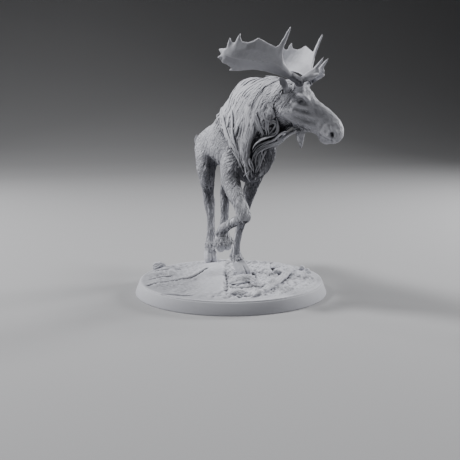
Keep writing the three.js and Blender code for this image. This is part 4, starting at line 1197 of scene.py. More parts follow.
def addFalls(hair, hand, seed):
    # locks strung between the tracks of the falls, some over and some under their neighbours
    rng = np.random.default_rng(seed)
    stations = 17
    count = falls["spread"]
    t = np.linspace(0, 1, stations)
    tracks = np.array([smoothTrack(track, stations) for track in falls["tracks"]])
    share = np.sort(rng.uniform(0, len(tracks) - 1.001, count))
    below = share.astype(int)
    blend = ramp(0.0, 1.0, share - below)[:, None, None]
    paths = tracks[below] * (1 - blend) + tracks[below + 1] * blend
    start = rng.choice((0.0, 0.12, 0.25, 0.38), count) + rng.uniform(-0.05, 0.05, count)
    end = rng.uniform(0.80, 1.0, count)
    for i in range(count):
        reach = np.clip(start[i] + (end[i] - start[i]) * t, 0, 1)
        paths[i] = np.stack([np.interp(reach, t, paths[i, :, axis]) for axis in range(3)], axis=1)
    normals = np.array([[onSkin(place)[1] for place in path] for path in paths])
    for step in range(3):
        normals[:, 1:-1] = unit(normals[:, :-2] + normals[:, 1:-1] + normals[:, 2:])
    sides = unit(np.cross(unit(np.gradient(paths, axis=1)), normals))
    phase = rng.uniform(0, 2 * math.pi, 14)[(share * 2.4).astype(int)] + rng.normal(0, 0.4, count)
    turns = rng.uniform(1.0, 1.6, (count, 1))
    swing = falls["wave"] * (0.3 + t) * np.sin(2 * math.pi * turns * t + phase[:, None])
    level = rng.uniform(-0.55, 0.22, count)[:, None] * (0.4 + 0.6 * t)
    paths = paths + sides * swing[..., None] + normals * level[..., None]
    if hand > 0:
        paths = mirrored(paths)
        normals[..., 0] *= -1
    widths = falls["width"] * rng.uniform(0.6, 1.25, count)
    heights = falls["height"] * rng.uniform(0.8, 1.25, count)
    hair.add(paths, normals, widths, heights, outlineOf("long", stations), 3, depth=0.5, gain=1.15)


maneHair = Hair("mane", maneFinish)
for hand, seed in ((-1, 21), (1, 22)):
    maneRows(maneHair, hand, seed)
    addFalls(maneHair, hand, seed + 40)
    addLongLocks(maneHair, hand, seed + 20)


# Short tufts over the rest of the coat. Spacing, length, half width, height, lift at the root,
# further lift at the tip and rise over the skin that the mane covers are in mm. Stray and wave
# turn them aside, in radians.
tufts = {
    "body": {
        "spacing": 0.72, "length": 2.2, "width": 0.20, "height": 0.11, "lift": 0.0, "stand": 0.10,
        "over": 0.0, "stray": 0.2, "wave": 0.0, "contrast": 0.6, "stations": 6,
    },
    "legs": {
        "spacing": 0.72, "length": 1.8, "width": 0.18, "height": 0.10, "lift": 0.0, "stand": 0.12,
        "over": 0.0, "stray": 0.15, "wave": 0.0, "contrast": 0.5, "stations": 6,
    },
    "face": {
        "spacing": 0.66, "length": 1.0, "width": 0.11, "height": 0.06, "lift": -0.01, "stand": 0.0,
        "over": 0.0, "stray": 0.25, "wave": 0.0, "contrast": 0.6, "stations": 6,
    },
    "cheeks": {
        "spacing": 0.50, "length": 2.5, "width": 0.17, "height": 0.20, "lift": 0.04, "stand": 0.12,
        "over": 0.55, "stray": 0.09, "wave": 0.35, "contrast": 0.45, "stations": 9,
    },
    "poll": {
        "spacing": 0.42, "length": 2.3, "width": 0.14, "height": 0.16, "lift": 0.04, "stand": 0.15,
        "over": 0.4, "stray": 0.10, "wave": 0.4, "contrast": 0.6, "stations": 8,
    },
}
# Fringes over the hooves: top and foot of the line they go down as [x, y, h], radius, length,
# reach down and spread.
fringes = {
    "fore_right": ((-5.4, -8.6, 14.6), (-4.8, -8.9, 10.7), 1.5, 1.6, 2.4, 0.5),
    "fore_left": ((2.4, 3.0, 6.4), (3.6, 0.4, 2.0), 1.35, 1.5, 1.3, 0.1),
    "hind_right": ((-0.5, 15.5, 7.0), (-0.9, 13.9, 2.8), 1.45, 1.5, 1.3, 0.1),
    "hind_left": ((4.9, 20.1, 10.4), (5.0, 19.0, 6.0), 1.35, 1.5, 1.3, 0.1),
}
# The tail's raised tuft: half width, and track of [x, y, h].
tailLocks = (
    (0.34, ((0.7, 27.9, 33.0), (0.0, 29.4, 34.0), (-0.2, 30.0, 35.0), (0.1, 29.9, 35.8), (0.45, 29.6, 36.7))),
    (0.36, ((0.9, 27.9, 33.3), (0.4, 29.2, 34.1), (0.2, 29.6, 35.0), (0.3, 29.6, 35.7), (0.5, 29.6, 36.3))),
    (0.34, ((1.1, 27.9, 33.6), (0.8, 28.9, 34.4), (0.7, 29.2, 35.2), (0.7, 29.3, 35.8))),
    (0.22, ((2.0, 26.8, 35.0), (1.7, 27.5, 35.6), (1.25, 28.2, 36.3), (0.9, 28.8, 37.0))),
    (0.20, ((2.3, 26.0, 35.9), (1.8, 26.9, 36.5), (1.3, 27.7, 36.9))),
)


def addFringes(hair, seed):
    rng = np.random.default_rng(seed)
    stations = 8
    count = 18
    t = np.linspace(0, 1, stations)
    for (x, y, h), (toX, toY, toH), radius, length, span, spread in fringes.values():
        top = np.array((x, y, above(h)))
        axis = unit(np.array((toX, toY, above(toH))) - top)
        first = unit(np.cross(axis, np.array((1.0, 0.3, 0.0))))
        second = np.cross(axis, first)
        for row in np.arange(-0.9, span, 0.5):
            turns = (np.arange(count) + rng.uniform(-0.35, 0.35, count)) * 2 * math.pi / count
            outward = first * np.cos(turns)[:, None] + second * np.sin(turns)[:, None]
            aside = np.cross(axis, outward)
            lengths = length * rng.uniform(0.45, 0.95, count)
            wander = rng.normal(0, 0.28, count)[:, None] * t ** 1.5
            girth = radius + spread * max(row, 0)
            rise = girth * rng.uniform(0.86, 0.96, count)[:, None]
            rise = rise + 0.3 * t ** 0.7 * rng.uniform(0.3, 1.2, count)[:, None]
            paths = (top + axis * row) + axis * (lengths[:, None] * t)[..., None]
            paths = paths + outward[:, None] * rise[..., None] + aside[:, None] * wander[..., None]
            tops = np.broadcast_to(outward[:, None], paths.shape)
            widths = rng.uniform(0.26, 0.42, count)
            heights = rng.uniform(0.14, 0.22, count)
            hair.add(paths, tops, widths, heights, outlineOf("full", stations), 2, depth=0.6, contrast=0.5)


def addTail(hair):
    stations = 11
    outline = outlineOf("full", stations)
    for width, track in tailLocks:
        path = smoothTrack(track, stations)[None]
        tops = np.broadcast_to(unit(np.array((-0.8, -0.5, 0.2))), path.shape)
        hair.add(path, tops, np.array((width,)), np.array((0.8 * width,)), outline, 2, depth=0.8)


def scattered(mask, spacing, rng):
    # one skin point in each cell of a grid of that spacing
    index = np.flatnonzero(mask)
    rng.shuffle(index)
    cells = np.floor(skinPoints[index] / spacing).astype(int)
    first = np.unique(cells, axis=0, return_index=True)[1]
    return index[first]


def addTufts(hair, mask, kind, seed, shade=None, fade=None):
    # mask: which skin points may carry one; fade: how much of its size each point's tuft keeps
    settings = tufts[kind]
    stations = settings["stations"]
    rng = np.random.default_rng(seed)
    roots = scattered(mask, settings["spacing"], rng)
    count = len(roots)
    kept = np.ones(count) if fade is None else fade[roots]
    lengths = settings["length"] * rng.uniform(0.7, 1.3, count) * (0.4 + 0.6 * kept)
    turn = rng.normal(0, settings["stray"], count)
    paths = np.zeros((count, stations, 3))
    tops = np.zeros((count, stations, 3))
    place = skinPoints[roots]
    normal = skinNormals[roots]
    bend = rng.normal(0, settings["stray"] * 0.5, count)
    phase = 3.0 * noiseAt(place, 3.0, 4.0)
    for k in range(stations):
        rise = settings["lift"] + settings["stand"] * (k / (stations - 1)) ** 1.5
        rise = rise * kept + settings["over"] * maneShare(place)
        paths[:, k] = place + normal * rise[:, None]
        tops[:, k] = normal
        way = lieAt(place, normal)
        side = np.cross(normal, way)
        sway = settings["wave"] * np.sin(phase + 4.6 * k / (stations - 1))
        swing = (turn + bend * k + sway)[:, None]
        way = unit(way * np.cos(swing) + side * np.sin(swing))
        onward = place + way * (lengths / (stations - 1))[:, None]
        found = [onSkin(point) for point in onward]
        place = np.array([spot for spot, tilt in found])
        normal = np.array([tilt for spot, tilt in found])
    widths = settings["width"] * rng.uniform(0.7, 1.3, count)
    heights = settings["height"] * rng.uniform(0.7, 1.3, count) * kept
    # painted shade over each tuft, from the skin's painted shade at its root
    dark = 0.0 if shade is None else np.clip(1.1 * shade[roots] - 0.1, -0.1, 0.75)
    look = {"dark": dark, "depth": 0.6, "contrast": settings["contrast"]}
    hair.add(paths, tops, widths, heights, outlineOf("short", stations), 2, **look)


skinPoints = pointsOf(skin)
skinNormals = normalsOf(skin)
forward, up, right = headPlace(skinPoints)
height = heightOf(skinPoints)
underMane = maneShare(skinPoints)
onEar = np.zeros(len(skinPoints), bool)
for hand in (1, -1):
    onEar |= np.linalg.norm(skinPoints - onHead(0.7, -0.3, 5.0 * hand), axis=1) < 3.0
onFace = (forward > 1.5) & (up > -8.5) & (np.abs(right) < 4.5)
onLeg = height < 25.5
nearCheek = (forward > -3.6) & (forward < 4.8) & (up > -8.8) & (up < -1.4 + 0.25 * forward)
nearCheek &= np.abs(right) > 0.8
inHollow = trackGap(skinPoints, throatHollow) < 1.7
nearPoll = (forward > -1.5) & (forward < 2.6) & (up > -2.5) & (np.abs(right) < 3.2)
nearEye = np.hypot(forward - 6.0, up + 1.0) < 2.4
bodyFade = 0.5 + 0.5 * ramp(25.5, 29.5, height)
plainFace = onFace & ~nearCheek & ~nearEye & (forward < 15.0) & ~onEar

# the thick hair first, whose shade is painted onto the skin and the short tufts beside it
faceHair = Hair("coat_face", coatFinish)
cheekFade = ramp(5.0, 1.6, forward) * 0.85 + 0.15
addTufts(faceHair, nearCheek & ~onEar & ~inHollow, "cheeks", 34, fade=cheekFade)
addTufts(faceHair, nearPoll & ~onEar, "poll", 35)
hairTree = searchTree(
    (skinPoints, skinCells),
    (np.concatenate(maneHair.points), np.concatenate(maneHair.cells)),
    (np.concatenate(faceHair.points), np.concatenate(faceHair.cells)),
)
# shade painted onto the skin: from forms close by, and from the sky shut out far overhead
skinShade = shadeAt(skinPoints, skinNormals, hairTree)
wideShade = np.maximum(skyShadeAt(skinPoints, skinNormals, hairTree) - shading["skyBase"], 0)
# less of this painted shade goes on the face and the thin parts, which would go too dark
skinShade = skinShade + shading["skyGain"] * wideShade * (1 - 0.75 * skinFace)
skinShade = skinShade * (1 - 0.6 * thinShareOf(skinPoints))
skinPaintedShade = skinPaintedShade + shading["skinGain"] * skinShade - shading["skinBase"]
addAttribute(skin, "paintedShade", np.clip(skinPaintedShade, -0.25, 1))
print("skin shade", round(float(skinShade.mean()), 3))
maneHair.finishHair(hairTree)
addTufts(faceHair, plainFace, "face", 33, shade=skinShade)
faceHair.finishHair(hairTree)

onBody = ~onFace & ~onLeg & ~onEar & (underMane < 0.55)
inFront = skinPoints[:, 1] < np.median(skinPoints[onBody, 1])
frontHair = Hair("coat_front", coatFinish)
addTufts(frontHair, onBody & inFront, "body", 31, shade=skinShade, fade=bodyFade)
frontHair.finishHair()
rearHair = Hair("coat_rear", coatFinish)
addTufts(rearHair, onBody & ~inFront, "body", 35, shade=skinShade, fade=bodyFade)
addTail(rearHair)
rearHair.finishHair()

legHair = Hair("coat_legs", coatFinish)
addTufts(legHair, onLeg, "legs", 32, shade=skinShade)
addFringes(legHair, 36)
legHair.finishHair()
finishPiece(skin, fleshNodes, coatFinish)

# Antlers: each beam, palm and brow branch melted into one smooth casting.
antlerSettings = {
    "voxel": 0.15,
    "grow": 0.05,
    "smoothing": 10,
    "browSmoothing": 12,
    "veins": 0.07,
    "burr": 0.22,
    "skyGain": 0.6,
    "skyBase": 0.2,
    "innerShade": 0.65,  # painted shade near the head, under the palm's root
    "base": 0.15,
}


def makeAntler(side):
    nodes = [f"antler_{side}_{part}" for part in ("beam", "palm", "brow")]
    antler = meltedCopy(f"antler_{side}", nodes, antlerSettings["grow"], antlerSettings["voxel"])
    smoothed(antler, antlerSettings["smoothing"], keep=0.5)
    forward, up, right = headPlace(pointsOf(antler))
    browShare = ramp(2.6, 3.4, up) * ramp(7.0, 5.5, np.abs(right))
    smoothed(antler, antlerSettings["browSmoothing"], browShare, keep=0.6)
    points = pointsOf(antler)
    normals = normalsOf(antler)
    forward, up, right = headPlace(points)
    out = np.abs(right)
    onBeam = ramp(8.5, 5.5, out)
    grain = np.stack((forward, up, 0.16 * out), axis=1)
    onBrow = ramp(3.2, 4.2, up) * ramp(5.5, 4.8, out)
    browGrain = np.stack((forward, 0.2 * up, out), axis=1)
    grain = mix(grain, browGrain, onBrow)
    veins = noiseAt(grain, 0.75, 5.0) * (0.5 + 1.1 * onBeam)
    veins += 0.6 * noiseAt(grain, 0.34, 9.0) * onBeam
    relief = antlerSettings["veins"] * veins * (1 - 0.75 * onBrow)
    burr = np.exp(-(((up - 0.55 - 0.2 * (out - 2)) / 0.55) ** 2)) * ramp(3.9, 3.2, out)
    bumps = np.abs(noiseAt(points, 0.55, 2.0))
    relief += antlerSettings["burr"] * burr * (0.4 + 1.5 * bumps)
    setPoints(antler, points + normals * relief[:, None])
    points = pointsOf(antler)
    wide = skyShadeAt(points, normalsOf(antler), searchTree((points, cellsOf(antler))))
    wide = np.maximum(wide - antlerSettings["skyBase"], 0)
    inner = ramp(17.0, 6.0, out) * (1 - onBrow)
    # painted shade: in hollows, where the sky is shut out, and darker towards the head
    paintedShade = hollows(antler, 4, 6.0) + antlerSettings["skyGain"] * wide
    paintedShade = paintedShade + antlerSettings["innerShade"] * inner - antlerSettings["base"]
    addAttribute(antler, "paintedShade", np.clip(paintedShade, -0.3, 1))
    finishPiece(antler, nodes, smoothFinish)


for side in ("right", "left"):
    makeAntler(side)

# Hooves: two long toes and two dewclaws each.
hoofSettings = {"grow": 0.22, "voxel": 0.13, "smoothing": 6, "rings": 0.035}
for leg in legNames:
    hoof = meltedCopy(f"hoof_{leg}", [f"{leg}_hoof"], hoofSettings["grow"], hoofSettings["voxel"])
    smoothed(hoof, hoofSettings["smoothing"], keep=0.5)
    points = pointsOf(hoof)
    rings = noiseAt(points * np.array((0.25, 0.25, 1.0)), 0.5, 4.0) + 0.8 * noiseAt(points, 0.6, 8.0)
    setPoints(hoof, points + normalsOf(hoof) * (hoofSettings["rings"] * rings)[:, None])
    # painted shade in the hoof's hollows
    addAttribute(hoof, "paintedShade", hollows(hoof, 5, 5.0))
    finishPiece(hoof, [f"{leg}_hoof"], smoothFinish)

# Eyes: plain balls deep under the lids, a little darkened with painted shade.
eyeSettings = {"radius": 0.62, "proud": 0.27, "aside": 2.6, "shade": 0.15}
for side, hand in (("right", 1), ("left", -1)):
    bpy.ops.object.select_all(action="DESELECT")
    bpy.ops.mesh.primitive_uv_sphere_add(segments=48, ring_count=24, radius=eyeSettings["radius"])
    eye = bpy.context.active_object
    eye.name = f"eyeball_{side}"
    bed, outward = onSkin(onHead(eyeBed["forward"], eyeBed["up"], eyeSettings["aside"] * hand))
    place = bed - outward * (eyeSettings["radius"] - eyeSettings["proud"])
    eye.data.transform(Matrix.Translation(Vector(place)))
    addAttribute(eye, "paintedShade", np.full(len(eye.data.vertices), eyeSettings["shade"]))
    finishPiece(eye, [f"eye_{side}"], smoothFinish)

# Base: a smooth disc whose rim leans in.
baseSettings = {"radius": 25.0, "topRadius": 23.92, "height": baseHeight, "edge": 0.22, "sides": 192}
bpy.ops.object.select_all(action="DESELECT")
bpy.ops.mesh.primitive_cylinder_add(
    vertices=baseSettings["sides"], radius=baseSettings["radius"], depth=baseSettings["height"],
    location=(0, 0, baseSettings["height"] / 2),
)
disc = bpy.context.active_object
disc.name = "base_disc"
bpy.ops.object.transform_apply(location=True, rotation=False, scale=False)
points = pointsOf(disc)
top = points[:, 2] > baseSettings["height"] / 2
points[top, :2] *= baseSettings["topRadius"] / baseSettings["radius"]
setPoints(disc, points)
rounding = {"segments": 3, "limit_method": "ANGLE", "angle_limit": math.radians(40)}
applied(disc, "BEVEL", width=baseSettings["edge"], **rounding)
applied(disc, "TRIANGULATE")
addAttribute(disc, "paintedShade", np.zeros(len(disc.data.vertices)))
finishPiece(disc, ["base"], rimFinish)

# Ground: a disc of rings that carries the scenic relief, closed underneath.
groundSettings = {
    "radius": 23.72,
    "rings": 118,
    "sectors": 400,
    "ridge": 0.48,  # heights of the rock's ridges and of its finer roughness
    "rough": 0.30,
    "slab": 0.8,  # height of the smooth slab that the moose trots along, and its roughness
    "slabRough": 0.035,
    "leftBank": 0.9,
    "thinnest": 0.04,
    "sunk": 0.3,  # how far its foot goes down into the base
    "shadeReach": 2.5,
    "shadeGain": 1.8,
    "leftShade": 0.40,  # how much painted shade darkens its left side
    "base": 0.1,
}
# Mounds: height, middle and half widths.
mounds = {
    "knoll": (1.1, -1, 13, 9, 9),
    "rise": (0.4, 3, 2, 5, 5),
    "right": (0.6, 14, 6, 6, 7),
    "boulder_bed": (0.9, -0.6, -10.9, 3.4, 2.2),
}
# Where the two hooves stand, x and y: the rock is lower there.
footprints = ((4.1, -0.6), (-0.9, 13.4))
# Cracks in the rock: depth, half width and track of [x, y].
cracks = {
    "left_crack": (1.5, 0.50, (
        (-22.4, -0.4), (-20.4, 0.6), (-17.6, 1.9), (-15.3, 2.6), (-12.9, 2.9), (-10.5, 3.3),
        (-8.0, 5.1), (-5.8, 6.8), (-4.2, 7.8),
    )),
    "left_ledge": (0.7, 0.45, ((-20.0, 6.2), (-17.1, 7.1), (-14.4, 6.8))),
    "left_top": (0.8, 0.50, ((-17.2, 11.6), (-13.9, 11.3), (-10.0, 12.6))),
    "left_front": (0.6, 0.55, ((-21.4, -10.0), (-18.4, -11.9), (-15.4, -14.5))),
    "slab_edge": (0.30, 0.30, (
        (-0.5, 3.2), (-1.4, -0.6), (-3.0, -5.5), (-4.6, -10.1), (-5.6, -12.8), (-9.9, -17.8),
    )),
    "boulder_foot": (0.7, 0.40, ((-4.1, -11.0), (-2.5, -12.8), (-1.0, -13.6), (1.2, -12.9), (4.4, -13.5))),
    "foot_cleft": (0.9, 0.42, ((6.7, 10.0), (5.6, 4.8), (4.9, 0.2), (4.2, -6.0))),
    "right_cleft": (0.8, 0.42, ((6.9, 3.4), (6.2, -1.3), (5.0, -6.0))),
    "back_cleft": (0.9, 0.42, ((15.1, 8.8), (13.2, 3.1), (13.1, -0.7), (13.4, -3.8))),
    "branch_side": (0.5, 0.40, ((4.0, -16.0), (10.5, -9.6), (15.9, -3.0))),
    "front_crack": (0.6, 0.34, ((-6.2, -19.0), (-4.3, -20.0), (-1.6, -20.3))),
}


def moundAt(name, x, y):
    height, middleX, middleY, halfX, halfY = mounds[name]
    return height * np.exp(-(((x - middleX) / halfX) ** 2) - ((y - middleY) / halfY) ** 2)


def reliefAt(x, y):
    # the ground's height over the base's top
    edge = ramp(24, 19.5, np.hypot(x, y))
    ripple = 0.2 * np.sin(0.55 * x + 0.8 * np.sin(0.4 * y)) * np.cos(0.5 * y - 0.3 * x)
    wobble = noiseAt(np.stack((x, y, 0 * x), axis=1), 1.6, 3.0)
    slabSide = x + 4 - 0.36 * y + 0.45 * wobble * ramp(0.0, 2.0, x + 4 - 0.36 * y)
    slab = ramp(-21, -13, y) * ramp(17, 10, y) * ramp(-7.0, -1.5, slabSide) * ramp(2.7, 1.7, slabSide)
    knoll = moundAt("knoll", x, y) + moundAt("rise", x, y)
    leftBank = groundSettings["leftBank"] * ramp(-10, -14, x) * ramp(2, 5, y + 0.35 * x)
    rightBank = moundAt("right", x, y) + moundAt("boulder_bed", x, y)
    banks = 0.15 + ripple * (1 - slab) + knoll + groundSettings["slab"] * slab + leftBank + rightBank
    relief = 0.3 + edge * banks
    flat = np.stack((x, y, 0.3 * relief), axis=1)
    # ridges that run slantwise, in space turned to lie along them
    turned = np.stack((0.75 * x - 0.66 * y, 0.35 * (0.66 * x + 0.75 * y), 0 * x), axis=1)
    turned[:, 0] += 0.9 * noiseAt(flat, 4.0, 1.0)
    ridges = 1 - 2.4 * np.abs(noiseAt(turned, 2.1, 5.0))
    finer = 1 - 2.2 * np.abs(noiseAt(turned, 0.95, 6.0))
    grit = noiseAt(flat, 0.8, 2.0) + 0.55 * noiseAt(flat, 0.36, 8.0)
    bare = edge * (1 - 0.94 * slab)
    calm = ramp(-0.5, -4.5, slabSide)
    rocky = groundSettings["ridge"] * (0.7 * ridges + 0.45 * finer) * (1 - 0.8 * calm)
    rocky += groundSettings["rough"] * grit * (1 - 0.45 * calm) + 0.12 * calm * noiseAt(flat, 0.26, 4.0)
    feet = np.minimum(*[np.hypot(x - footX, y - footY) for footX, footY in footprints])
    rocky = np.where(rocky > 0, rocky * (0.35 + 0.65 * ramp(1.5, 3.0, feet)), rocky)
    relief += bare * rocky * ramp(23.6, 21.5, np.hypot(x, y))
    relief += groundSettings["slabRough"] * slab * grit
    for depth, width, path in cracks.values():
        gap, share = nearPath(x + 0.22 * grit, y + 0.22 * wobble, path)
        fade = ramp(0.0, 0.15, share) * ramp(1.0, 0.85, share)
        relief -= depth * np.exp(-((gap / width) ** 2)) * (0.35 + 0.65 * fade) * edge
    return np.maximum(relief, groundSettings["thinnest"])


def makeGround():
    rings, sectors = groundSettings["rings"], groundSettings["sectors"]
    radii = groundSettings["radius"] * (1 - np.arange(rings) / rings)
    turns = np.arange(sectors) * 2 * math.pi / sectors
    x = np.append(radii[:, None] * np.cos(turns), 0.0)
    y = np.append(radii[:, None] * np.sin(turns), 0.0)
    top = np.stack((x, y, baseHeight + reliefAt(x, y)), axis=1)
    foot = top[:sectors].copy()
    foot[:, 2] = baseHeight - groundSettings["sunk"]
    points = np.concatenate((top, foot))
    # quads between the rings, a fan round the middle, a wall down from the edge and a floor
    row = np.arange(rings - 1)[:, None] * sectors
    k = np.arange(sectors)
    beside = (k + 1) % sectors
    quads = np.stack((row + k, row + beside, row + sectors + beside, row + sectors + k), axis=-1)
    inner = (rings - 1) * sectors
    fan = np.stack((inner + k, inner + beside, np.full(sectors, rings * sectors)), axis=-1)
    skirt = np.stack((len(top) + k, len(top) + beside, beside, k), axis=-1)
    faces = [tuple(face) for group in (quads.reshape(-1, 4), fan, skirt) for face in group]
    faces.append(tuple(len(top) + k[::-1]))
    mesh = bpy.data.meshes.new("scenic_ground")
    mesh.from_pydata([tuple(point) for point in points], [], faces)
    ground = bpy.data.objects.new("scenic_ground", mesh)
    bpy.context.scene.collection.objects.link(ground)
    # painted shade along the cracks, in hollows and where near forms shut out the light, more on the left
    paintedCrackShade = np.zeros(len(points))
    for depth, width, path in cracks.values():
        gap = nearPath(points[:, 0], points[:, 1], path)[0]
        paintedCrackShade = np.maximum(paintedCrackShade, 0.8 * depth * np.exp(-((gap / (0.8 * width)) ** 2)))
    tree = searchTree((points, faces[:-1]))
    shade = shadeAt(points, normalsOf(ground), tree, groundSettings["shadeReach"], 8)
    paintedShade = paintedCrackShade + hollows(ground, 6, 3.6) + groundSettings["shadeGain"] * shade
    paintedShade += groundSettings["leftShade"] * ramp(4.0, -18.0, points[:, 0]) - groundSettings["base"]
    addAttribute(ground, "paintedShade", np.clip(paintedShade, -0.3, 1))
    finishPiece(ground, ["ground"], groundFinish)


makeGround()

# Loose stones: centre [x, y, height above the base's top], radii, and how finely each is cut.
stones = {
    "boulder": ((0.3, -8.6, 1.3), (3.6, 2.9, 1.6), 5),
    "stone_front": ((-4.4, -17.4, 1.0), (2.0, 1.5, 0.9), 4),
    "stone_back": ((15.2, 5.2, 1.2), (2.0, 1.7, 1.1), 4),
    "stone_right": ((13.0, -0.8, 1.1), (1.4, 1.2, 0.9), 4),
    "stone_left": ((-14.8, 17.0, 1.2), (1.7, 1.5, 1.2), 4),
    "pebble_1": ((21.6, 2.4, 0.9), (0.8, 0.7, 0.8), 3),
    "pebble_2": ((21.9, -0.2, 0.8), (0.7, 0.7, 0.7), 3),
    "pebble_3": ((21.0, -3.2, 0.8), (0.7, 0.8, 0.8), 3),
}
# All of them: heights of their bulges, dents and grain, and how many flat faces are split off,
# how far out each starts and how flat it is.
stoneSettings = {"bulge": 0.16, "dents": 0.10, "grain": 0.05, "splits": 9, "splitAt": 0.80, "flat": 0.85}


def makeStone(name, centre, radii, finesse, seed):
    bpy.ops.object.select_all(action="DESELECT")
    bpy.ops.mesh.primitive_ico_sphere_add(subdivisions=finesse + 1, radius=1.0)
    stone = bpy.context.active_object
    stone.name = f"{name}_rock"
    points = pointsOf(stone)
    bulge = stoneSettings["bulge"] * noiseAt(points, 0.9, seed)
    bulge += stoneSettings["dents"] * (1 - 2 * np.abs(noiseAt(points, 0.45, seed + 3)))
    bulge += stoneSettings["grain"] * noiseAt(points, 0.16 + 0.1 / max(radii), seed + 5)
    rng = np.random.default_rng(int(seed * 7))
    for way in unit(rng.normal(0, 1, (stoneSettings["splits"], 3))):
        over = np.maximum(points @ way - stoneSettings["splitAt"], 0)
        points = points - stoneSettings["flat"] * over[:, None] * way
    middle = np.array(centre) + np.array((0, 0, baseHeight))
    setPoints(stone, points * (1 + bulge)[:, None] * np.array(radii) + middle)
    # painted shade in the stone's hollows
    addAttribute(stone, "paintedShade", np.clip(hollows(stone, 4, 3.0), -0.3, 1))
    finishPiece(stone, [name], groundFinish)


for seed, (name, (centre, radii, finesse)) in enumerate(stones.items()):
    makeStone(name, centre, radii, finesse, seed + 1.5)

# Fallen branch: ribbed bark, side stubs and a knot at its near end.
branchSettings = {
    "voxel": 0.13,
    "grow": 0.02,
    "smoothing": 12,
    "bark": 0.14,  # heights of the bark's ribs and of the branch's bumps
    "bumps": 0.16,
    "knots": ((0.0, -20.2, 0.5), (6.4, -13.6, 0.45), (12.2, -7.4, 0.4)),  # x, y and height
    "knotWidth": 0.75,
}


def makeBranch():
    branch = meltedCopy("branch_bark", ["branch"], branchSettings["grow"], branchSettings["voxel"])
    smoothed(branch, branchSettings["smoothing"], keep=0.4)
    points = pointsOf(branch)
    normals = normalsOf(branch)
    lengthwise = points @ np.array((0.66, 0.75, 0.0))
    across = points @ np.array((0.75, -0.66, 0.0))
    grain = np.stack((across, points[:, 2], 0.15 * lengthwise), axis=1)
    bark = 1 - 2.2 * np.abs(noiseAt(grain, 0.42, 3.0))
    relief = branchSettings["bark"] * (bark + 0.5 * noiseAt(grain, 0.2, 6.0))
    relief += branchSettings["bumps"] * noiseAt(points, 1.8, 2.0)
    for x, y, bulge in branchSettings["knots"]:
        gap = np.hypot(points[:, 0] - x, points[:, 1] - y)
        relief += bulge * np.exp(-((gap / branchSettings["knotWidth"]) ** 2))
    setPoints(branch, points + normals * relief[:, None])
    smoothed(branch, 1, 0.5)
    # painted shade in the bark's hollows
    addAttribute(branch, "paintedShade", np.clip(hollows(branch, 3, 4.0), -0.3, 1))
    finishPiece(branch, ["branch"], groundFinish)


makeBranch()

# The camera: turn round the base and dip in degrees, distance and height in mm, lens and sensor
# in mm, sideways shift as a share of the frame, and the depths in m that it sees.
cameraSettings = {
    "azimuth": -20.0,
    "drop": 9.9,
    "reach": 212.7,
    "height": 53.3,
    "lens": 65.0,
    "sensor": 36.0,
    "shift": -0.9 / 460,
    "clip": (0.005, 20.0),
}


def aimedAlong(way):
    return Vector(way).to_track_quat("-Z", "Y").to_euler()


def aimCamera():
    turn = math.radians(cameraSettings["azimuth"])
    drop = math.radians(cameraSettings["drop"])
    data = bpy.data.cameras.new("camera")
    camera = bpy.data.objects.new("camera", data)
    bpy.context.scene.collection.objects.link(camera)
    reach = cameraSettings["reach"]
    place = (math.sin(turn) * reach, -math.cos(turn) * reach, cameraSettings["height"])
    camera.location = Vector(place) * mm
    level = math.cos(drop)
    camera.rotation_euler = aimedAlong((-math.sin(turn) * level, math.cos(turn) * level, -math.sin(drop)))
    data.lens = cameraSettings["lens"]
    data.sensor_width = cameraSettings["sensor"]
    data.shift_x = cameraSettings["shift"]
    data.clip_start, data.clip_end = cameraSettings["clip"]
    bpy.context.scene.camera = camera


# The studio's soft lights: place and size in m, and power in watts. All face the breast.
lights = {
    "key": ((-0.22, 0.08, 0.30), 0.07, 1.34),
    "front_right": ((0.21, -0.07, 0.30), 0.10, 0.50),
    "back_left": ((-0.20, 0.24, 0.12), 0.08, 0.50),
    "back_right": ((0.286, 0.055, 0.14), 0.08, 0.85),
}
lightTarget = (0, -0.01, 0.03)


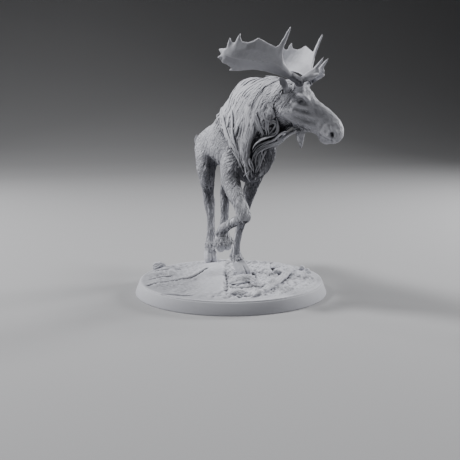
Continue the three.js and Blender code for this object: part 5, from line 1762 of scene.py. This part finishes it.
def addLight(name, place, size, power):
    data = bpy.data.lights.new(name, "AREA")
    data.size = size
    data.energy = power
    light = bpy.data.objects.new(name, data)
    light.location = place
    light.rotation_euler = aimedAlong(Vector(lightTarget) - Vector(place))
    bpy.context.scene.collection.objects.link(light)


# The floor under it, in m.
floorSettings = {
    "width": 6.0,
    "flat": 0.30,
    "bend": 0.50,
    "wall": 2.0,
    "colour": (0.36, 0.36, 0.37, 1),
    "roughness": 0.9,
}


def addFloor():
    # a plain sweep: flat under the figure, and curved up into a wall far behind it
    bpy.ops.object.select_all(action="DESELECT")
    bpy.ops.mesh.primitive_grid_add(x_subdivisions=1, y_subdivisions=120, size=2.0)
    floor = bpy.context.active_object
    floor.name = "floor"
    places = pointsOf(floor)
    half = floorSettings["width"] / 2
    flat = floorSettings["flat"]
    bend = floorSettings["bend"]
    reach = (places[:, 1] + 1) / 2 * (floorSettings["wall"] + half + 1.0) - half
    turn = np.clip((reach - flat) / bend, 0, math.pi / 2)
    beyond = np.maximum(reach - flat - bend * math.pi / 2, 0)
    places[:, 0] *= half
    places[:, 1] = np.minimum(reach, flat) + bend * np.sin(turn)
    places[:, 2] = bend * (1 - np.cos(turn)) + beyond
    setPoints(floor, places)
    floor.data.polygons.foreach_set("use_smooth", [True] * len(floor.data.polygons))
    pale = Finish("pale_floor")
    look = {"Base Color": floorSettings["colour"], "Roughness": floorSettings["roughness"]}
    shader = pale.node("ShaderNodeBsdfPrincipled", None, look)
    pale.node("ShaderNodeOutputMaterial", None, {"Surface": shader})
    floor.data.materials.append(pale.material)


worldSettings = {"colour": (0.80, 0.82, 0.86, 1), "strength": 0.035}


def lightWorld():
    world = bpy.data.worlds.new("studio")
    world.use_nodes = True
    background = world.node_tree.nodes["Background"]
    background.inputs["Color"].default_value = worldSettings["colour"]
    background.inputs["Strength"].default_value = worldSettings["strength"]
    bpy.context.scene.world = world


aimCamera()
for name, (place, size, power) in lights.items():
    addLight(name, place, size, power)
addFloor()
lightWorld()
print("camera, lights and floor done")
